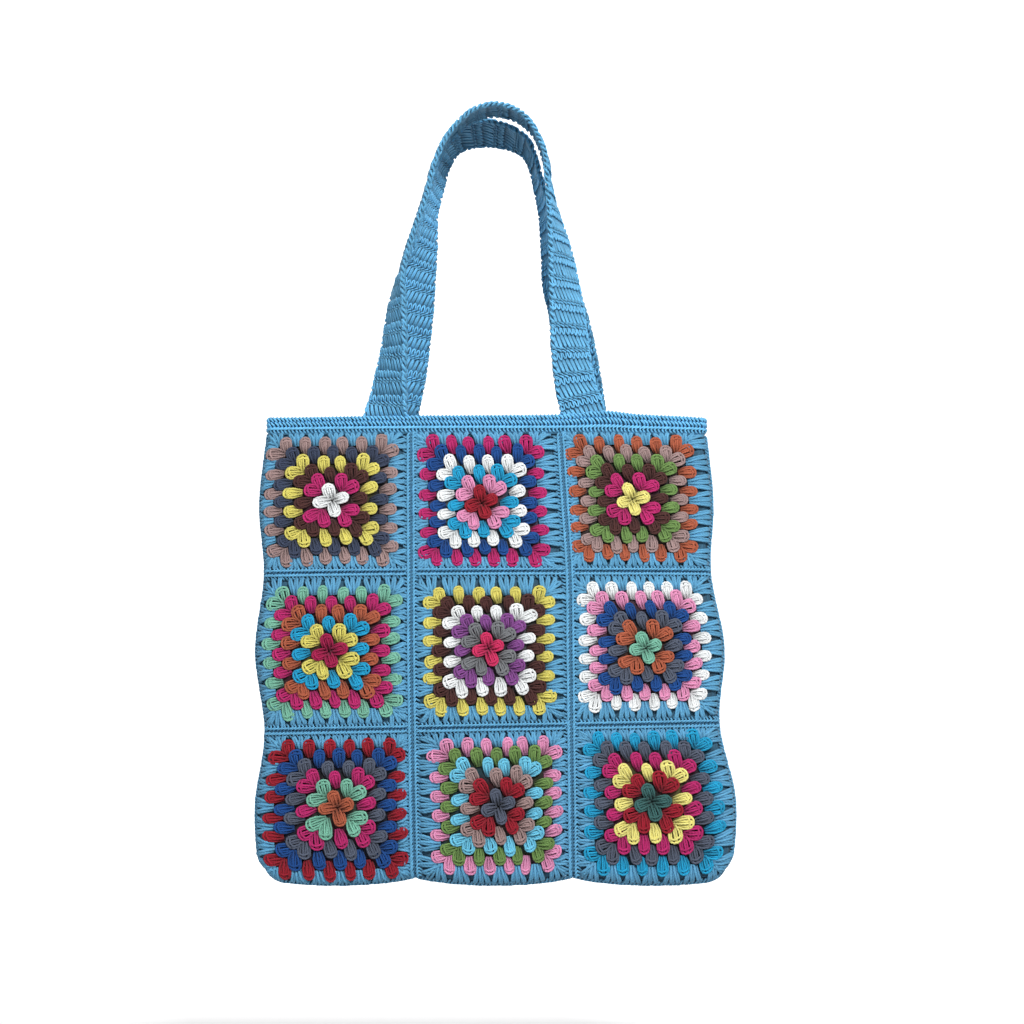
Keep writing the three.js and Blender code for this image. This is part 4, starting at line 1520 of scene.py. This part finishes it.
class ToteColours(bpy.types.PropertyGroup):
    """Colours of the yarns."""

    blue: colour_property("Blue", 98, 170, 211)
    white: colour_property("White", 238, 241, 242)
    magenta: colour_property("Magenta", 184, 32, 106)
    brown: colour_property("Brown", 74, 38, 35)
    yellow: colour_property("Yellow", 218, 208, 104)
    lemon: colour_property("Lemon", 236, 226, 132)
    slate: colour_property("Slate", 56, 66, 90)
    charcoal: colour_property("Charcoal", 82, 90, 108)
    taupe: colour_property("Taupe", 160, 134, 132)
    crimson: colour_property("Crimson", 152, 14, 38)
    pink: colour_property("Pink", 224, 146, 186)
    turquoise: colour_property("Turquoise", 22, 158, 204)
    royal: colour_property("Royal", 12, 72, 142)
    green: colour_property("Green", 108, 142, 76)
    rust: colour_property("Rust", 174, 90, 62)
    mint: colour_property("Mint", 122, 186, 162)
    berry: colour_property("Berry", 162, 12, 72)
    raspberry: colour_property("Raspberry", 206, 42, 96)
    grey: colour_property("Grey", 118, 120, 124)
    purple: colour_property("Purple", 132, 72, 142)
    teal: colour_property("Teal", 56, 102, 100)
    sky: colour_property("Sky", 108, 196, 226)


def blue_yarn(light):
    """The blue yarn's colour, lighter or darker by a painted lightness: painted light on the band and
    straps, painted shade on the joins and seam.
    """
    return linear(bpy.context.scene.tote_colours.blue) * light


class TOTE_OT_squares(bpy.types.Operator):
    """Crochet the eighteen granny squares"""

    bl_idname = "tote.squares"
    bl_label = "Granny squares"

    def execute(self, context):
        for panel, side in SIDES.items():
            for row, row_name in enumerate(ROW_NAMES):
                for column, column_name in enumerate(COLUMN_NAMES):
                    kind = SQUARE_LAYOUT[panel][row][column]
                    seed = SEEDS[panel] + 10 * row + column
                    yarn = square_yarn(row, column, side, SQUARE_ROUNDS[kind], seed)
                    node = f"square_{panel}_{row_name}_{column_name}"
                    add_piece(yarn, node, "granny_cotton")
        return {"FINISHED"}


class TOTE_OT_joins(bpy.types.Operator):
    """Crochet the raised joins between the squares"""

    bl_idname = "tote.joins"
    bl_label = "Joins"

    def execute(self, context):
        for panel, side in SIDES.items():
            # The joins' blue darkened: painted shade
            yarn = joins_yarn(side, blue_yarn(JOIN_PAINTED_SHADE), SEEDS["joins"] + side)
            add_piece(yarn, f"joins_{panel}", "blue_cotton")
        return {"FINISHED"}


class TOTE_OT_seam(bpy.types.Operator):
    """Crochet the seam down the sides and along the base"""

    bl_idname = "tote.seam"
    bl_label = "Side and base seam"

    def execute(self, context):
        # The seam's blue darkened: painted shade
        yarn = seam_yarn(blue_yarn(JOIN_PAINTED_SHADE), SEEDS["seam"])
        add_piece(yarn, "side_and_base_seam", "blue_cotton")
        return {"FINISHED"}


class TOTE_OT_band(bpy.types.Operator):
    """Crochet the band round the mouth"""

    bl_idname = "tote.band"
    bl_label = "Rim band"

    def execute(self, context):
        # The band's blue lightened: painted light
        yarn = band_yarn(blue_yarn(BAND_PAINTED_LIGHT), SEEDS["band"])
        add_piece(yarn, "rim_band", "blue_cotton")
        return {"FINISHED"}


class TOTE_OT_straps(bpy.types.Operator):
    """Crochet the two straps"""

    bl_idname = "tote.straps"
    bl_label = "Straps"

    def execute(self, context):
        for panel, side in SIDES.items():
            seed = SEEDS["straps"] + side
            # The straps' blue lightened: painted light
            yarn = strap_yarn(STRAP_ROWS[panel], side, blue_yarn(STRAP_PAINTED_LIGHT), seed)
            add_piece(yarn, f"handle_{panel}", "blue_strap_cotton")
        return {"FINISHED"}


def backdrop_mesh():
    """A floor that curves up into a wall: a profile along Y and Z, a straight line, a quarter of
    a circle and a line again, drawn out along X."""
    bend = np.linspace(0, np.pi / 2, BEND_POINTS)
    y = WALL_PLACE - BEND_RADIUS + BEND_RADIUS * np.sin(bend)
    z = FLOOR_HEIGHT + BEND_RADIUS * (1 - np.cos(bend))
    y = np.concatenate([[FLOOR_FRONT], y, [WALL_PLACE]])
    z = np.concatenate([[FLOOR_HEIGHT], z, [FLOOR_HEIGHT + WALL_HEIGHT]])
    count = len(y)
    ends = (-BACKDROP_WIDTH / 2, BACKDROP_WIDTH / 2)
    points = np.concatenate([np.stack([np.full(count, x), y, z], axis=-1) for x in ends])
    i = np.arange(count - 1)
    faces = np.stack([i, i + count, i + count + 1, i + 1], axis=-1)
    mesh = bpy.data.meshes.new("studio_backdrop")
    mesh.from_pydata(points.tolist(), [], faces.tolist())
    mesh.polygons.foreach_set("use_smooth", np.ones(len(faces), bool))
    return mesh


def add_light(name, place, aim, size, power):
    """A square soft light that faces a point."""
    lamp = bpy.data.lights.new(name, "AREA")
    lamp.shape = "SQUARE"
    lamp.size = size
    lamp.energy = power
    holder = bpy.data.objects.new(name, lamp)
    holder.location = place
    holder.rotation_euler = (Vector(aim) - Vector(place)).to_track_quat("-Z", "Y").to_euler()
    bpy.context.scene.collection.objects.link(holder)


class TOTE_OT_stage(bpy.types.Operator):
    """Set the floor, the lights and the camera"""

    bl_idname = "tote.stage"
    bl_label = "Stage"

    def execute(self, context):
        scene = context.scene
        backdrop = bpy.data.objects.new("studio_backdrop", backdrop_mesh())
        backdrop.data.materials.append(backdrop_material("studio_white"))
        scene.collection.objects.link(backdrop)
        backdrop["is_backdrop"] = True
        for name, settings in LIGHTS.items():
            add_light(name, *settings)
        scene.world = bpy.data.worlds.new("studio")
        scene.world.use_nodes = True
        background = scene.world.node_tree.nodes["Background"]
        background.inputs["Color"].default_value = (1, 1, 1, 1)
        background.inputs["Strength"].default_value = WORLD_LIGHT
        scene.view_settings.view_transform = "Standard"
        lens = bpy.data.cameras.new("camera")
        lens.lens = CAMERA_LENS
        lens.sensor_width = SENSOR_WIDTH
        camera = bpy.data.objects.new("camera", lens)
        camera.location = CAMERA_PLACE
        camera.rotation_euler = (math.pi / 2 + CAMERA_PITCH, 0, 0)
        scene.collection.objects.link(camera)
        scene.camera = camera
        return {"FINISHED"}


OPERATORS = (TOTE_OT_squares, TOTE_OT_joins, TOTE_OT_seam, TOTE_OT_band, TOTE_OT_straps, TOTE_OT_stage)


class TOTE_PT_bag(bpy.types.Panel):
    """The bag's pieces, sizes and colours"""

    bl_idname = "TOTE_PT_bag"
    bl_label = "Granny Tote"
    bl_space_type = "VIEW_3D"
    bl_region_type = "UI"
    bl_category = "Granny Tote"

    def draw(self, context):
        layout = self.layout
        for operator in OPERATORS:
            layout.operator(operator.bl_idname)
        for settings in (context.scene.tote_sizes, context.scene.tote_colours):
            column = layout.column(align=True)
            for name in settings.__annotations__:
                column.prop(settings, name)


CLASSES = (ToteSizes, ToteColours, *OPERATORS, TOTE_PT_bag)


def register():
    for made in CLASSES:
        bpy.utils.register_class(made)
    bpy.types.Scene.tote_sizes = PointerProperty(type=ToteSizes)
    bpy.types.Scene.tote_colours = PointerProperty(type=ToteColours)


def unregister():
    del bpy.types.Scene.tote_colours
    del bpy.types.Scene.tote_sizes
    for made in reversed(CLASSES):
        bpy.utils.unregister_class(made)


def main():
    """Makes the bag and its stage."""
    register()
    bpy.ops.tote.squares()
    bpy.ops.tote.joins()
    bpy.ops.tote.seam()
    bpy.ops.tote.band()
    bpy.ops.tote.straps()
    bpy.ops.tote.stage()
    boxes = [[list(corner) for corner in bounds] for bounds in (cad_bounds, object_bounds())]


if __name__ == "__main__":
    main()
